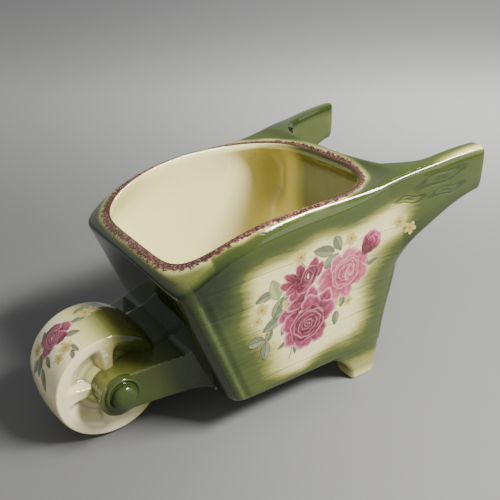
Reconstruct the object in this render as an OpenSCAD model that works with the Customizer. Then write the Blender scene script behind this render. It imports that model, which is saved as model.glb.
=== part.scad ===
// Glazed earthenware planter in the form of a wooden wheelbarrow.
// The front of the barrow, with its wheel, points along -X, and +Z is up.
// It stands on the wheel and two feet at z = 0, with the origin under the middle of its length.
// "Left" is the side at a gardener's left hand when pushing, which is -Y.

/* [Tub] */
// Length of the flat underside of the tub
floor_l = 131; // [100:1:160]
// Width of the flat underside of the tub
floor_w = 143; // [110:1:180]
// Height of the underside above the ground
floor_h = 25; // [15:1:40]
// How far the front wall leans forward between underside and rim
front_lean = 34; // [10:1:45]
// How far the back wall leans back between underside and rim
back_lean = 4; // [2:1:12]
// How much further apart the side walls are at the rim than at the underside
side_flare = 6; // [0:1:20]
// Height of the outer edge of the rim at the front, above the underside
front_rise = 85; // [60:1:110]
// Height of the outer edge of the rim at the back, above the underside
back_rise = 124; // [90:1:150]
// How far the front wall bows forward between its corners, at the underside
front_bow = 4.5; // [0:0.5:8]
// Wall thickness of the cast tub
tub_wall = 5; // [3:0.5:8]
// Width of the rolled rim at the front
rim_front = 7.5; // [6:0.5:14]
// Width of the rolled rim along the sides
rim_side = 7; // [6:0.5:16]
// Width of the rolled rim at the back
rim_back = 10; // [6:0.5:16]

/* [Handles] */
// Length that each handle sticks out behind the tub
handle_l = 64; // [45:1:90]
// Depth of a handle at its grip, top to bottom
handle_d = 30; // [22:1:34]
// Thickness of a handle at its grip, side to side
handle_t = 13; // [10:0.5:16]
// How far a handle leans outwards from root to tip
handle_splay = 10; // [0:1:16]
// How far the grip end is above the rim at the back
handle_rise = 14.5; // [4:0.5:20]
// Wall thickness of the hollow handles
handle_wall = 4; // [2.5:0.5:4.5]

/* [Wheel] */
// Radius of the wheel at the crown of its tread
wheel_r = 38; // [30:0.5:45]
// Width of the wheel across its two faces
wheel_w = 49; // [40:1:56]
// Height of the crown of the tread over its edges
tread_crown = 2.5; // [1:0.5:6]
// Distance from the wheel's centre to the front of the tub's underside
wheel_reach = 61; // [56:1:76]
// Width of the flat rim around each wheel face
wheel_rim = 7; // [4:0.5:10]
// Depth of the dished recess in each wheel face
dish_depth = 8; // [4:0.5:10]
// Width of a moulded spoke
spoke_w = 9; // [6:0.5:12]
// Wall thickness of the hollow wheel
wheel_wall = 5; // [4:0.5:6]
// Diameter of the vent that lets air out of the hollow wheel in the kiln
vent_d = 4; // [2:0.5:6]

/* [Fork] */
// Height of a fork arm at the tub
arm_h = 25; // [18:1:30]
// Distance from the centre plane to the outside of an arm, at the hub
arm_out_hub = 38; // [34:0.5:44]
// Distance from the centre plane to the outside of an arm, at the tub
arm_out_tub = 48; // [40:1:54]
// How far a fork arm climbs between hub and tub
arm_climb = 7; // [0:1:10]
// Radius of the soft fillet between an arm and the tub
arm_fillet = 8; // [4:1:14]
// Radius of the round pad at the end of an arm, under the knob
pad_r = 13; // [10:0.5:16]
// Radius of the domed hub knob
knob_r = 11.5; // [8:0.5:14]
// How far the hub knob stands out of its pad
knob_out = 7.5; // [4:0.5:12]
// How far above the wheel's centre the knob is pressed on
knob_up = 2.5; // [0:0.5:4]
// How far behind the wheel's centre the knob is pressed on
knob_back = 1.5; // [0:0.5:4]

/* [Feet] */
// Length of a foot along the barrow, on the ground
foot_l = 20; // [14:1:34]
// Length of a foot along the barrow, where it meets the tub
foot_top_l = 47; // [36:1:60]
// Width of a foot across the barrow, on the ground
foot_w = 17; // [12:1:26]
// How far a foot is set in from the side of the tub
foot_inset = 1.5; // [0:0.5:6]

/* [Decoration] */
// Thickness of the fired-on transfers and of the lustre line
film_t = 0.3; // [0.2:0.1:0.6]

/* [Hidden] */
$fn = 64;

// Stations along the barrow, measured from the middle of the tub's length
floor_front = -49;
floor_back = floor_front + floor_l;
rim_x_front = floor_front - front_lean;
rim_x_back = floor_back + back_lean;
wheel_x = floor_front - wheel_reach;
wheel_z = wheel_r;
tip_x = rim_x_back + handle_l;
rim_half = floor_w / 2 + side_flare / 2 + 0.5;
// The whole model is moved by this, so that its length is centred on the origin
centre_x = (wheel_x - wheel_r - film_t + tip_x) / 2;

// ---- Rings of the tub ----
// A ring is [front x, back x, half width, narrowing at the front, front corner power, back corner power,
// four heights from front to back, rise of the front's middle, rise of the back corners, front bow].
ring_n = 64;
quarter = ring_n / 4;
function bezier(h, t) = h[0] * pow(1 - t, 3) + 3 * h[1] * t * pow(1 - t, 2)
                      + 3 * h[2] * t * t * (1 - t) + h[3] * pow(t, 3);
// A point on a quarter of a superellipse: q runs 0 to 1 along one side and 1 to 2 along the other
function corner_share(n) = pow(2, -1 / n);
function quarter_point(q, n) =
    q <= 1 ? let (y = corner_share(n) * sin(90 * q)) [pow(1 - pow(y, n), 1 / n), y]
           : let (x = corner_share(n) * sin(90 * (2 - q))) [x, pow(1 - pow(x, n), 1 / n)];
function ring_point(r, k) =
    let (turn = floor(k / quarter) % 4,
         step = 2 * (k % quarter) / quarter,
         at_back = turn == 0 || turn == 3,
         q = turn == 0 || turn == 2 ? step : 2 - step,
         unit = quarter_point(q, at_back ? r[5] : r[4]),
         x = unit[0] * (at_back ? r[1] : r[0] - r[12] * (1 - unit[1] * unit[1])),
         half = r[2] - (at_back ? 0 : r[3] * unit[0]),
         y = unit[1] * half * (turn < 2 ? 1 : -1),
         t = (x - r[0]) / (r[1] - r[0]),
         z = bezier([r[6], r[7], r[8], r[9]], t)
             + r[10] * (1 - unit[1] * unit[1]) * pow(1 - t, 4)
             + r[11] * unit[1] * unit[1] * pow(t, 6))
    [x, y, z];

foot_ring = [floor_front, floor_back, floor_w / 2, 0, 14, 16,
             floor_h, floor_h, floor_h, floor_h, 0, 0, front_bow];
edge_ring = [rim_x_front, rim_x_back, rim_half, 2.5, 14, 16,
             floor_h + front_rise - 1, floor_h + front_rise + 40, floor_h + back_rise - 22,
             floor_h + back_rise, 4.5, 7, front_bow / 3];
lip_ring = [rim_x_front + rim_front, rim_x_back - rim_back, rim_half - rim_side, 5, 5.5, 3.2,
            floor_h + front_rise + 9, floor_h + front_rise + 45, floor_h + back_rise - 8,
            floor_h + back_rise - 1, 0, 0, 0];
function lowered(r, dz) = [for (i = [0:12]) i > 5 && i < 10 ? r[i] - dz : r[i]];
// A ring drawn in by some distance all round
function drawn_in(r, d) = [for (i = [0:12]) i == 0 ? r[0] + d : i == 1 || i == 2 ? r[i] - d : r[i]];
function between(a, b, t) = a + (b - a) * t;
// A wall ring at share v of the height
function wall_ring(v) =
    let (r = between(foot_ring, edge_ring, v))
    [for (i = [0:12]) i == 2 ? between(floor_w / 2, rim_half, pow(v, 1.5)) : r[i]];
// A ring on the rolled rim at share w of the way from its outer edge to the lip
rim_roll = 2.2;
function rim_ring(w) = lowered(between(edge_ring, lip_ring, w), -rim_roll * sin(180 * w));
// Inside, the wall is the tub's thickness in from the outside, and it opens out under the lip
inner_foot = drawn_in([for (i = [0:12]) i == 4 ? 7 : i == 5 ? 11 : foot_ring[i]], tub_wall);
inner_top_drop = 14;
inner_top = drawn_in(lowered([for (i = [0:12]) i == 4 ? 7 : i == 5 ? 9 : edge_ring[i]], inner_top_drop),
                     tub_wall + 1);
function inner_ring(v) = between(inner_foot, inner_top, v);

wall_levels = [0.03, 0.12, 0.24, 0.36, 0.48, 0.58, 0.67, 0.75, 0.83, 0.91, 0.965];
rim_levels = [0.06, 0.22, 0.45, 0.75];
outer_rings = concat(
    [drawn_in(foot_ring, 3)],
    [lowered(drawn_in(foot_ring, 0.6), -0.6)],
    [for (v = wall_levels) wall_ring(v)],
    [for (w = rim_levels) rim_ring(w)],
    [lip_ring]);
// The first step down into the tub, inwards and downwards from the crest of the lip
lip_roll = 1.6;
lip_drop = 1.2;
inner_rings = concat(
    [lowered(drawn_in(lip_ring, lip_roll), lip_drop)],
    [lowered(drawn_in(lip_ring, 1.8), 4.5)],
    [inner_top],
    [for (v = [0.75, 0.5, 0.25, 0.06]) inner_ring(v)],
    [lowered(drawn_in(inner_foot, 6), -tub_wall)]);
tub_rings = concat(outer_rings, inner_rings);
outer_n = len(outer_rings);
ring_count = len(tub_rings);
// Level numbers in tub_rings where a handle grows out of the tub
handle_low = 6;
handle_high = 15;

// Closed surface over rings of equal length, with a pole below the first and above the last.
// Both halves are split into triangles as mirror images.
module skin(rings, n, pole_low, pole_high) {
    m = len(rings) / n;
    quads = [for (j = [0:m - 2]) for (k = [0:n - 1])
        let (a = j * n + k, b = j * n + (k + 1) % n, c = a + n, d = b + n)
        each k < n / 2 ? [[a, c, b], [b, c, d]] : [[a, d, b], [a, c, d]]];
    low = [for (k = [0:n - 1]) [m * n, k, (k + 1) % n]];
    high = [for (k = [0:n - 1]) [m * n + 1, (m - 1) * n + (k + 1) % n, (m - 1) * n + k]];
    polyhedron(concat(rings, [pole_low, pole_high]), concat(quads, low, high), convexity = 8);
}

module placed() {
    translate([-centre_x, 0, 0]) children();
}

pole_x = 15;
module tub_shape() {
    skin([for (r = tub_rings) for (k = [0:ring_n - 1]) ring_point(r, k)], ring_n,
         [pole_x, 0, floor_h], [pole_x, 0, floor_h + tub_wall]);
}

// The tub filled up to its rim, for trimming what is luted to it
module tub_block() {
    skin([for (r = outer_rings) for (k = [0:ring_n - 1]) ring_point(r, k)], ring_n,
         [pole_x, 0, floor_h], [pole_x, 0, floor_h + front_rise + 15]);
}

module tub() {
    color("yellowgreen") placed() tub_shape();
}

// ---- Handles ----
// A handle starts on a patch of the tub's surface at the back corner and draws out to a rounded bar.
patch_back = 4;
patch_side = 11;
function tub_point(k, j) = ring_point(tub_rings[j], k);
// The patch boundary in order: up the side, in along the rim, down the back, out along the bottom
function patch_loop(d) = concat(
    [for (j = [handle_low + d:handle_high - d]) [patch_side - d, j]],
    [for (k = [patch_side - d - 1:-1:patch_back + d]) [k, handle_high - d]],
    [for (j = [handle_high - d - 1:-1:handle_low + d]) [patch_back + d, j]],
    [for (k = [patch_back + d + 1:1:patch_side - d - 1]) [k, handle_low + d]]);
function outward(kj) =
    [kj[0] + (kj[0] == patch_side ? 1 : kj[0] == patch_back ? -1 : 0),
     kj[1] + (kj[1] == handle_high ? 1 : kj[1] == handle_low ? -1 : 0)];
function unit(v) = v / norm(v);
// Middle, half size and corner of the handle's section at a station x
bar_start = rim_x_back + 17;
function along(x) = (x - bar_start) / (tip_x - bar_start);
// The bar stands out from the rim's outer edge by this much at its root
bar_overhang = 2.5;
// The share of the handle's splay that the bar takes, the rest being in its root
bar_splay = 0.75;
// Arc of tread that the wheel's transfer covers, up and over from the front
tread_print_arc = 108;
// Half the extra depth, and the drop of the top, where the bar grows out of its root
root_extra = 8;
root_drop = 6;
tip_gap = 1.5;
bar_corner = 5;
top_slope = 0.2;
function bar_y(x) = rim_half - handle_t / 2 + bar_overhang
                    + handle_splay * bar_splay * (x - rim_x_back) / handle_l;
function bar_half_z(x) = handle_d / 2 + root_extra * pow(1 - along(x), 1.5);
function bar_top(x) = floor_h + back_rise + handle_rise - root_drop * pow(1 - along(x), 1.6);
function bar_z(x) = bar_top(x) - bar_half_z(x) - tip_gap;
// Point f (0 to 1) along face s of a rounded section with unit half sizes
function section_point(s, f) =
    let (u = corner_share(bar_corner) * sin(90 * (2 * f - 1)),
         v = pow(1 - pow(abs(u), bar_corner), 1 / bar_corner))
    s == 0 ? [v, u] : s == 1 ? [-u, v] : s == 2 ? [-v, -u] : [u, -v];
function bar_loop(x, inset, counts, shrink) =
    [for (s = [0:3]) for (i = [0:counts[s] - 1])
        let (p = section_point(s, i / counts[s]),
             hy = (handle_t / 2 - inset) * shrink,
             hz = (bar_half_z(x) - inset) * shrink)
        [x, bar_y(x) + p[0] * hy, bar_z(x) + p[1] * hz - top_slope * p[0] * hy]];
function hermite(p0, t0, p1, t1, s) =
    p0 * (2 * s * s * s - 3 * s * s + 1) + t0 * (s * s * s - 2 * s * s + s)
    + p1 * (3 * s * s - 2 * s * s * s) + t1 * (s * s * s - s * s);
root_pull = 24;
low_pull = 13;
bar_pull = 26;
root_steps = [0.12, 0.26, 0.42, 0.6, 0.8];
bar_steps = [0, 0.25, 0.5, 0.72, 0.88, 0.95];
// The end of the bar is rounded in three steps over this length
tip_round = 3;
function horn_loops(d, inset) =
    let (loop = patch_loop(d),
         across = patch_side - patch_back - 2 * d,
         up = handle_high - handle_low - 2 * d,
         counts = [up, across, up, across],
         first = bar_loop(bar_start, inset, counts, 1),
         tip = tip_x - inset)
    concat(
        [for (kj = loop) tub_point(kj[0], kj[1])],
        [for (s = root_steps) for (i = [0:len(loop) - 1])
            let (p = tub_point(loop[i][0], loop[i][1]),
                 o = outward([loop[i][0], loop[i][1]]),
                 away = d == 0 ? unit(p - tub_point(o[0], o[1])) : [0.7, 0.3, 0])
            let (pull = loop[i][1] == handle_low + d ? low_pull : root_pull)
            hermite(p, away * pull, first[i], [bar_pull, 2, 2], s)],
        [for (s = bar_steps) each bar_loop(between(bar_start, tip - tip_round, s), inset, counts, 1)],
        bar_loop(tip - tip_round / 3, inset, counts, 0.9),
        bar_loop(tip, inset, counts, 0.7));

module handle_shape() {
    outer = horn_loops(0, 0);
    inner = horn_loops(1, handle_wall);
    n = len(patch_loop(0));
    m = len(patch_loop(1));
    rows = len(outer) / n;
    outer_faces = [for (j = [0:rows - 2]) for (i = [0:n - 1])
        let (a = j * n + i, b = j * n + (i + 1) % n)
        each [[a, a + n, b], [b, a + n, b + n]]];
    inner_faces = [for (j = [0:rows - 2]) for (i = [0:m - 1])
        let (a = len(outer) + j * m + i, b = len(outer) + j * m + (i + 1) % m)
        each [[a, b, a + m], [b, b + m, a + m]]];
    tip_faces = [for (i = [1:n - 2]) [(rows - 1) * n, (rows - 1) * n + i + 1, (rows - 1) * n + i]];
    end = len(outer) + (rows - 1) * m;
    inner_tip_faces = [for (i = [1:m - 2]) [end, end + i, end + i + 1]];
    // The root is the ring of cells that the handle's wall covers on the tub, split as the tub's are
    outer_loop = patch_loop(0);
    inner_loop = patch_loop(1);
    function spot(kj) =
        let (o = search([kj], outer_loop)[0], i = search([kj], inner_loop)[0])
        is_num(o) ? o : len(outer) + i;
    root_faces = [for (j = [handle_low:handle_high - 1]) for (k = [patch_back:patch_side - 1])
        let (is_rim = j == handle_low || j == handle_high - 1 || k == patch_back || k == patch_side - 1)
        if (is_rim)
            let (a = spot([k, j]), b = spot([k + 1, j]), c = spot([k, j + 1]), e = spot([k + 1, j + 1]))
            each [[a, b, c], [b, e, c]]];
    polyhedron(concat(outer, inner),
               concat(outer_faces, inner_faces, tip_faces, inner_tip_faces, root_faces), convexity = 8);
}

module handle_right() {
    color("olivedrab") placed() handle_shape();
}

module handle_left() {
    color("olivedrab") placed() mirror([0, 1, 0]) handle_shape();
}

// ---- Wheel ----
face_y = wheel_w / 2;
tread_edge_r = wheel_r - tread_crown;
hub_r = 9;
// How far the dish's side slopes in between its rim and its bottom
dish_slope = 4;
dish_r = tread_edge_r - wheel_rim;
crown_steps = 12;
// Tread radius at a distance y from the centre plane: a circular arc through edge, crown and edge
crown_arc_r = (face_y * face_y + tread_crown * tread_crown) / (2 * tread_crown);
function tread_r(y) = wheel_r - crown_arc_r + sqrt(crown_arc_r * crown_arc_r - y * y);
function tread_line(drop, half) = [for (i = [0:crown_steps])
    let (y = -half + 2 * half * i / crown_steps)
    [tread_r(y) - drop, y]];

module about_axle() {
    translate([wheel_x, 0, wheel_z]) rotate([-90, 0, 0]) children();
}

module wheel_blank() {
    rotate_extrude($fn = 96)
        polygon(concat([[0, -face_y]], tread_line(0, face_y), [[0, face_y]]));
}

// The room that the wheel takes up in the web behind it, open past both of the wheel's faces
module wheel_room() {
    side = face_y + 1;
    rotate_extrude($fn = 96)
        polygon(concat([[0, -side], [tread_edge_r, -side]], tread_line(0, face_y),
                       [[tread_edge_r, side], [0, side]]));
}

// One face's dish, with four spokes and a hub left standing in it
module dish() {
    difference() {
        translate([0, 0, face_y - dish_depth])
            cylinder(r1 = dish_r - dish_slope, r2 = dish_r + 0.01, h = dish_depth + 0.01);
        for (turn = [0:3])
            rotate([0, 0, 90 * turn])
                translate([0, -spoke_w / 2, face_y - dish_depth - 1])
                    cube([dish_r + 2, spoke_w, dish_depth - 2]);
        translate([0, 0, face_y - dish_depth - 1]) cylinder(r = hub_r, h = dish_depth);
    }
}

module wheel_cavity() {
    half = face_y - dish_depth - wheel_wall;
    rotate_extrude($fn = 96)
        polygon([[0, -half], [tread_edge_r - wheel_rim - 1, -half],
                 [tread_edge_r - wheel_wall - 1, -half - 2], [tread_edge_r - wheel_wall, 0],
                 [tread_edge_r - wheel_wall - 1, half + 2], [tread_edge_r - wheel_rim - 1, half],
                 [0, half]]);
}

module wheel() {
    color("antiquewhite") placed() about_axle()
        difference() {
            wheel_blank();
            dish();
            mirror([0, 0, 1]) dish();
            wheel_cavity();
            // The vent is low on the back of the tread, out of sight
            rotate([0, 0, 60]) rotate([0, 90, 0]) cylinder(d = vent_d, h = wheel_r + 1, $fn = 24);
        }
}

// ---- Fork ----
arm_in = face_y;
arm_back = floor_front + 4;
arm_low_tub = floor_h + 7;
arm_front_r = pad_r - 1;
pad_face = arm_out_hub + 1;
tub_front_x = floor_front - front_lean * 0.2;
// Outline of an arm from above, with a fillet sweeping out to the tub's front wall
function arm_plan() =
    let (fx = tub_front_x - arm_fillet - 2, fy = arm_out_tub + arm_fillet)
    concat([[wheel_x - arm_front_r, arm_in], [wheel_x - arm_front_r, arm_out_hub - 1.5]],
           [for (a = [-90:15:0]) [fx + (arm_fillet + 2) * cos(a), fy + arm_fillet * sin(a)]],
           [[arm_back, fy], [arm_back, arm_in]]);
// Outline of an arm from the side: round at the hub and deeper at the tub
function arm_side() = concat(
    [for (a = [90:15:270]) [wheel_x + arm_front_r * cos(a), wheel_z + arm_front_r * sin(a)]],
    [[arm_back, arm_low_tub - arm_climb * 0.2], [arm_back, arm_low_tub + arm_h + 1]]);

module arm() {
    difference() {
        intersection() {
            linear_extrude(height = 200)
                polygon(arm_plan());
            translate([0, 100, 0]) rotate([90, 0, 0])
                linear_extrude(height = 100)
                    polygon(arm_side());
        }
        tub_block();
    }
    pad();
}

// The round pad that carries the knob, square to the axle
module pad() {
    translate([wheel_x, arm_in, wheel_z]) rotate([-90, 0, 0])
        cylinder(r = pad_r, h = pad_face - arm_in);
}

module fork_arm_right() {
    color("darkolivegreen") placed() arm();
}

module fork_arm_left() {
    color("darkolivegreen") placed() mirror([0, 1, 0]) arm();
}

// The block between the arms, from the back of the wheel to the tub
web_front = wheel_x + wheel_r * 0.7;
module fork_web() {
    color("darkolivegreen") placed()
        difference() {
            translate([0, arm_in, 0]) rotate([90, 0, 0])
                linear_extrude(height = 2 * arm_in)
                    polygon([[web_front, arm_low_tub], [arm_back, arm_low_tub],
                             [arm_back, arm_low_tub + arm_h + 1], [web_front, arm_low_tub + arm_h - 1]]);
            about_axle() wheel_room();
            tub_block();
        }
}

// A domed knob: a short neck and an elliptical cap
module knob() {
    neck = knob_out * 0.25;
    translate([wheel_x + knob_back, pad_face, wheel_z + knob_up]) rotate([-90, 0, 0])
        rotate_extrude($fn = 64)
            polygon(concat([[0, 0], [knob_r, 0]],
                           [for (a = [0:10:90]) [knob_r * cos(a), neck + (knob_out - neck) * sin(a)]]));
}

module hub_knob_right() {
    color("olivedrab") placed() knob();
}

module hub_knob_left() {
    color("olivedrab") placed() mirror([0, 1, 0]) knob();
}

// ---- Feet ----
foot_back = floor_back - 4;
foot_front = foot_back - foot_top_l;
foot_out = floor_w / 2 - foot_inset;
// How far the back of the foot, and its inner side, lean in between the tub and the ground
heel_lean = 5;
inner_lean = 6;
module foot() {
    difference() {
        translate([0, foot_out, 0]) rotate([90, 0, 0])
            linear_extrude(height = foot_w + inner_lean)
                polygon(concat(
                    [[foot_back - heel_lean - foot_l, 0], [foot_back - heel_lean, 0],
                     [foot_back, floor_h], [foot_front, floor_h]],
                    [for (s = [0.25, 0.5, 0.75])
                        [foot_front + (foot_top_l - foot_l - heel_lean) * pow(s, 0.6),
                         floor_h * (1 - pow(s, 1.7))]]));
        translate([0, foot_out - foot_w, 0]) rotate([-atan(inner_lean / floor_h), 0, 0])
            translate([0, -60, -40])
                cube([200, 60, 140]);
    }
}

module foot_right() {
    color("darkkhaki") placed() foot();
}

module foot_left() {
    color("darkkhaki") placed() mirror([0, 1, 0]) foot();
}

// ---- Fired-on decoration ----
// A film over the cells of the side wall between two stations and two levels
module side_film() {
    levels = [3:12];
    stations = [12:18];
    film_ring = function (j) [for (k = stations) tub_point(k, j)];
    inner = [for (j = levels) each film_ring(j)];
    outer = [for (p = inner) p + [0, film_t, 0]];
    w = len([for (k = stations) k]);
    h = len([for (j = levels) j]);
    total = w * h;
    quads = [for (j = [0:h - 2]) for (k = [0:w - 2])
        let (a = j * w + k, b = a + 1, c = a + w, e = c + 1)
        each [[a, b, c], [b, e, c],
              [total + a, total + c, total + b], [total + b, total + c, total + e]]];
    rim = concat([for (k = [0:w - 1]) k], [for (j = [1:h - 1]) j * w + w - 1],
                 [for (k = [w - 2:-1:0]) (h - 1) * w + k], [for (j = [h - 2:-1:1]) j * w]);
    edges = [for (i = [0:len(rim) - 1])
        let (a = rim[i], b = rim[(i + 1) % len(rim)])
        each [[a, total + a, b], [b, total + a, total + b]]];
    polyhedron(concat(inner, outer), concat(quads, edges), convexity = 4);
}

module rose_transfer_right() {
    color("palevioletred") placed() side_film();
}

module rose_transfer_left() {
    color("palevioletred") placed() mirror([0, 1, 0]) side_film();
}

// A film over the upper front of the tread
module wheel_transfer() {
    edge_gap = 4;
    film_half = face_y - edge_gap;
    color("palevioletred") placed() about_axle()
        rotate([0, 0, 180]) rotate_extrude(angle = tread_print_arc, $fn = 96)
            polygon(concat(tread_line(0, film_half),
                           [for (i = [crown_steps:-1:0]) tread_line(-film_t, film_half)[i]]));
}

// A lustre line around the top of the lip
module lip_band() {
    band = [lip_ring, lowered(lip_ring, -film_t),
            lowered(drawn_in(lip_ring, lip_roll - film_t), lip_drop - film_t * 2),
            lowered(drawn_in(lip_ring, lip_roll), lip_drop)];
    pts = [for (r = band) for (k = [0:ring_n - 1]) ring_point(r, k)];
    faces = [for (j = [0:3]) for (k = [0:ring_n - 1])
        let (a = j * ring_n + k, b = j * ring_n + (k + 1) % ring_n,
             c = ((j + 1) % 4) * ring_n + k, e = ((j + 1) % 4) * ring_n + (k + 1) % ring_n)
        each k < ring_n / 2 ? [[a, c, b], [b, c, e]] : [[a, e, b], [a, c, e]]];
    color("sienna") placed() polyhedron(pts, faces, convexity = 6);
}

tub();
handle_left();
handle_right();
wheel();
fork_web();
fork_arm_left();
fork_arm_right();
hub_knob_left();
hub_knob_right();
foot_left();
foot_right();
rose_transfer_left();
rose_transfer_right();
wheel_transfer();
lip_band();
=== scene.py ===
import math

import bpy
import numpy as np
from mathutils import Matrix, Vector


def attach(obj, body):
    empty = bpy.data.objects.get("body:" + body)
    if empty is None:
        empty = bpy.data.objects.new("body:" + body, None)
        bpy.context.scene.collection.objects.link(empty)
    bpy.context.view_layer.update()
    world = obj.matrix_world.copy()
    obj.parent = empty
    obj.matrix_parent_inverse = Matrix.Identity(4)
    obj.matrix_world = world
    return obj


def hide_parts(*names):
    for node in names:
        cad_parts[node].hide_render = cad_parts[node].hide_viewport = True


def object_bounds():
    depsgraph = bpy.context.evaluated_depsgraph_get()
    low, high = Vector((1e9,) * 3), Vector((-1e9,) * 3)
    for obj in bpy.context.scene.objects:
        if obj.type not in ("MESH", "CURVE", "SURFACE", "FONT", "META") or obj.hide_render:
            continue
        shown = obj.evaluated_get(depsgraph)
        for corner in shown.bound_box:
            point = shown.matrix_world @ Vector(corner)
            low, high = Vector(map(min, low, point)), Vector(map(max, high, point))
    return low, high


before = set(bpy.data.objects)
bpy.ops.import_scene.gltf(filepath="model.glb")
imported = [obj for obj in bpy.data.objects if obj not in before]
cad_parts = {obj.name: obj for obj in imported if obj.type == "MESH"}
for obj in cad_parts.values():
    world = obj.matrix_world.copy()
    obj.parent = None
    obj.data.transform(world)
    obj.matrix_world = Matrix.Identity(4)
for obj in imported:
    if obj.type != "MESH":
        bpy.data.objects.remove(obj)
cad_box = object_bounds()

# ---- Camera ----
# A long normal lens held a little above the barrow, looking down across its left front corner.
turn, tilt, lean = math.radians(-34.24), math.radians(25.5), math.radians(-0.43)
ahead = Vector((-math.sin(turn) * math.cos(tilt), math.cos(turn) * math.cos(tilt), -math.sin(tilt)))
level = Vector((math.cos(turn), math.sin(turn), 0))
above = level.cross(ahead)
camera = bpy.data.objects.new("camera", bpy.data.cameras.new("camera"))
camera.data.lens = 46.07
camera.data.sensor_width = 36
camera.data.clip_start = 0.01
across = level * math.cos(lean) + above * math.sin(lean)
upward = above * math.cos(lean) - level * math.sin(lean)
camera.matrix_world = Matrix((across, upward, -ahead)).transposed().to_4x4()
camera.location = (-0.22125, -0.341, 0.2854)
bpy.context.scene.collection.objects.link(camera)
bpy.context.scene.camera = camera

# ---- Barrow body: tub and two handles ----
# The tub is slip cast in earthenware, with a rolled rim and moulded planking, and each hollow handle is a
# casting luted to a back corner. Under one glaze their joints can't be seen, so the skins share normals.
# They are built on the same rings as the castings' drawings, which no primitive can be brought to.
floor_front, floor_back, floor_half, floor_z = -49, 82, 71.5, 25
tip_x, handle_thick, handle_deep = 150, 13, 30
shift = np.array([tip_x - cad_box[1].x * 1000, 0, 0])
foot_line = np.array([floor_front, floor_back, floor_half, 0, 14, 16, 25, 25, 25, 25, 0, 0, 4.5])
fold_line = np.array([-83, 86, 75, 2.5, 14, 16, 109, 150, 127, 149, 4.5, 7, 1.5])
lip_line = np.array([-75.5, 76, 68, 5, 5.5, 3.2, 119, 155, 141, 148, 0, 0, 0])
stations = np.arange(512) / 8


def corner_share(n):
    return 2 ** (-1 / n)


def ring(r, k=stations):
    """Points of a ring at stations k, which run 0 to 64 from the back centre round by the right side."""
    quarter = np.floor(k / 16).astype(int) % 4
    step = 2 * (k % 16) / 16
    back = (quarter == 0) | (quarter == 3)
    q = np.where((quarter == 0) | (quarter == 2), step, 2 - step)
    n = np.where(back, r[5], r[4])
    c = corner_share(n)
    low = q <= 1
    s = c * np.sin(np.pi / 2 * np.where(low, q, 2 - q))
    o = (1 - s ** n) ** (1 / n)
    uy, ux = np.where(low, s, o), np.where(low, o, s)
    x = ux * np.where(back, r[1], r[0] - r[12] * (1 - uy * uy))
    y = uy * (r[2] - np.where(back, 0, r[3] * ux)) * np.where(quarter < 2, 1, -1)
    t = (x - r[0]) / (r[1] - r[0])
    z = (r[6] * (1 - t) ** 3 + 3 * r[7] * t * (1 - t) ** 2 + 3 * r[8] * t * t * (1 - t) + r[9] * t ** 3
         + r[10] * (1 - uy * uy) * (1 - t) ** 4 + r[11] * uy * uy * t ** 6)
    return np.stack([x, y, z], 1)


def drawn_in(r, d):
    r = r.copy()
    r[0] += d
    r[1:3] -= d
    return r


def lowered(r, d):
    r = r.copy()
    r[6:10] -= d
    return r


def wall_ring(v):
    r = foot_line + (fold_line - foot_line) * v
    r[2] = floor_half + (75 - floor_half) * v ** 1.5
    return r


def rim_ring(w):
    return lowered(fold_line + (lip_line - fold_line) * w, -2.2 * math.sin(math.pi * w))


def smoothstep(lo, hi, x):
    t = np.clip((x - lo) / (hi - lo), 0, 1)
    return t * t * (3 - 2 * t)


def soften(rows, first, last, passes):
    """Rounds the profile of a stack of rings between two of them."""
    weight = np.zeros((len(rows), 1, 1))
    weight[first:last + 1, 0, 0] = np.clip(np.minimum(np.arange(first, last + 1) - first + 1,
                                                      last + 1 - np.arange(first, last + 1)) / 3, 0, 1)
    for _ in range(passes):
        mean = rows.copy()
        mean[1:-1] = (rows[:-2] + 2 * rows[1:-1] + rows[2:]) / 4
        rows += (mean - rows) * weight
    return rows


def grid_normals(rows):
    along = np.roll(rows, -1, 1) - np.roll(rows, 1, 1)
    up = np.gradient(rows, axis=0)
    n = np.cross(along, up)
    return n / np.maximum(np.linalg.norm(n, axis=2, keepdims=True), 1e-9)


wall_v = np.concatenate([[0.01, 0.02, 0.03, 0.045], np.arange(3, 46) * 0.02, np.arange(91, 101) * 0.01])
rim_w = np.arange(1, 21) * 0.05
under = [drawn_in(foot_line, d) for d in (45, 20, 8, 5, 3, 2, 1, 0)]
outer = np.array([ring(r) for r in under] + [ring(wall_ring(v)) for v in wall_v]
                 + [ring(rim_ring(w)) for w in rim_w])
# The level of each ring, on the scale that the handles' roots are set out in: 12.5 is the fold
level_at = np.concatenate([
    np.zeros(len(under)),
    np.interp(wall_v, [0, .03, .12, .24, .36, .48, .58, .67, .75, .83, .91, .965, 1],
              [1.5, 2, 3, 4, 5, 6, 7, 8, 9, 10, 11, 12, 12.5]),
    np.interp(rim_w, [0, .06, .22, .45, .75, 1], [12.5, 13, 14, 15, 16, 17])])
fold_row = len(under) + len(wall_v) - 1
soften(outer, 3, 16, 7)
soften(outer, fold_row - 7, fold_row + 7, 6)

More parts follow.
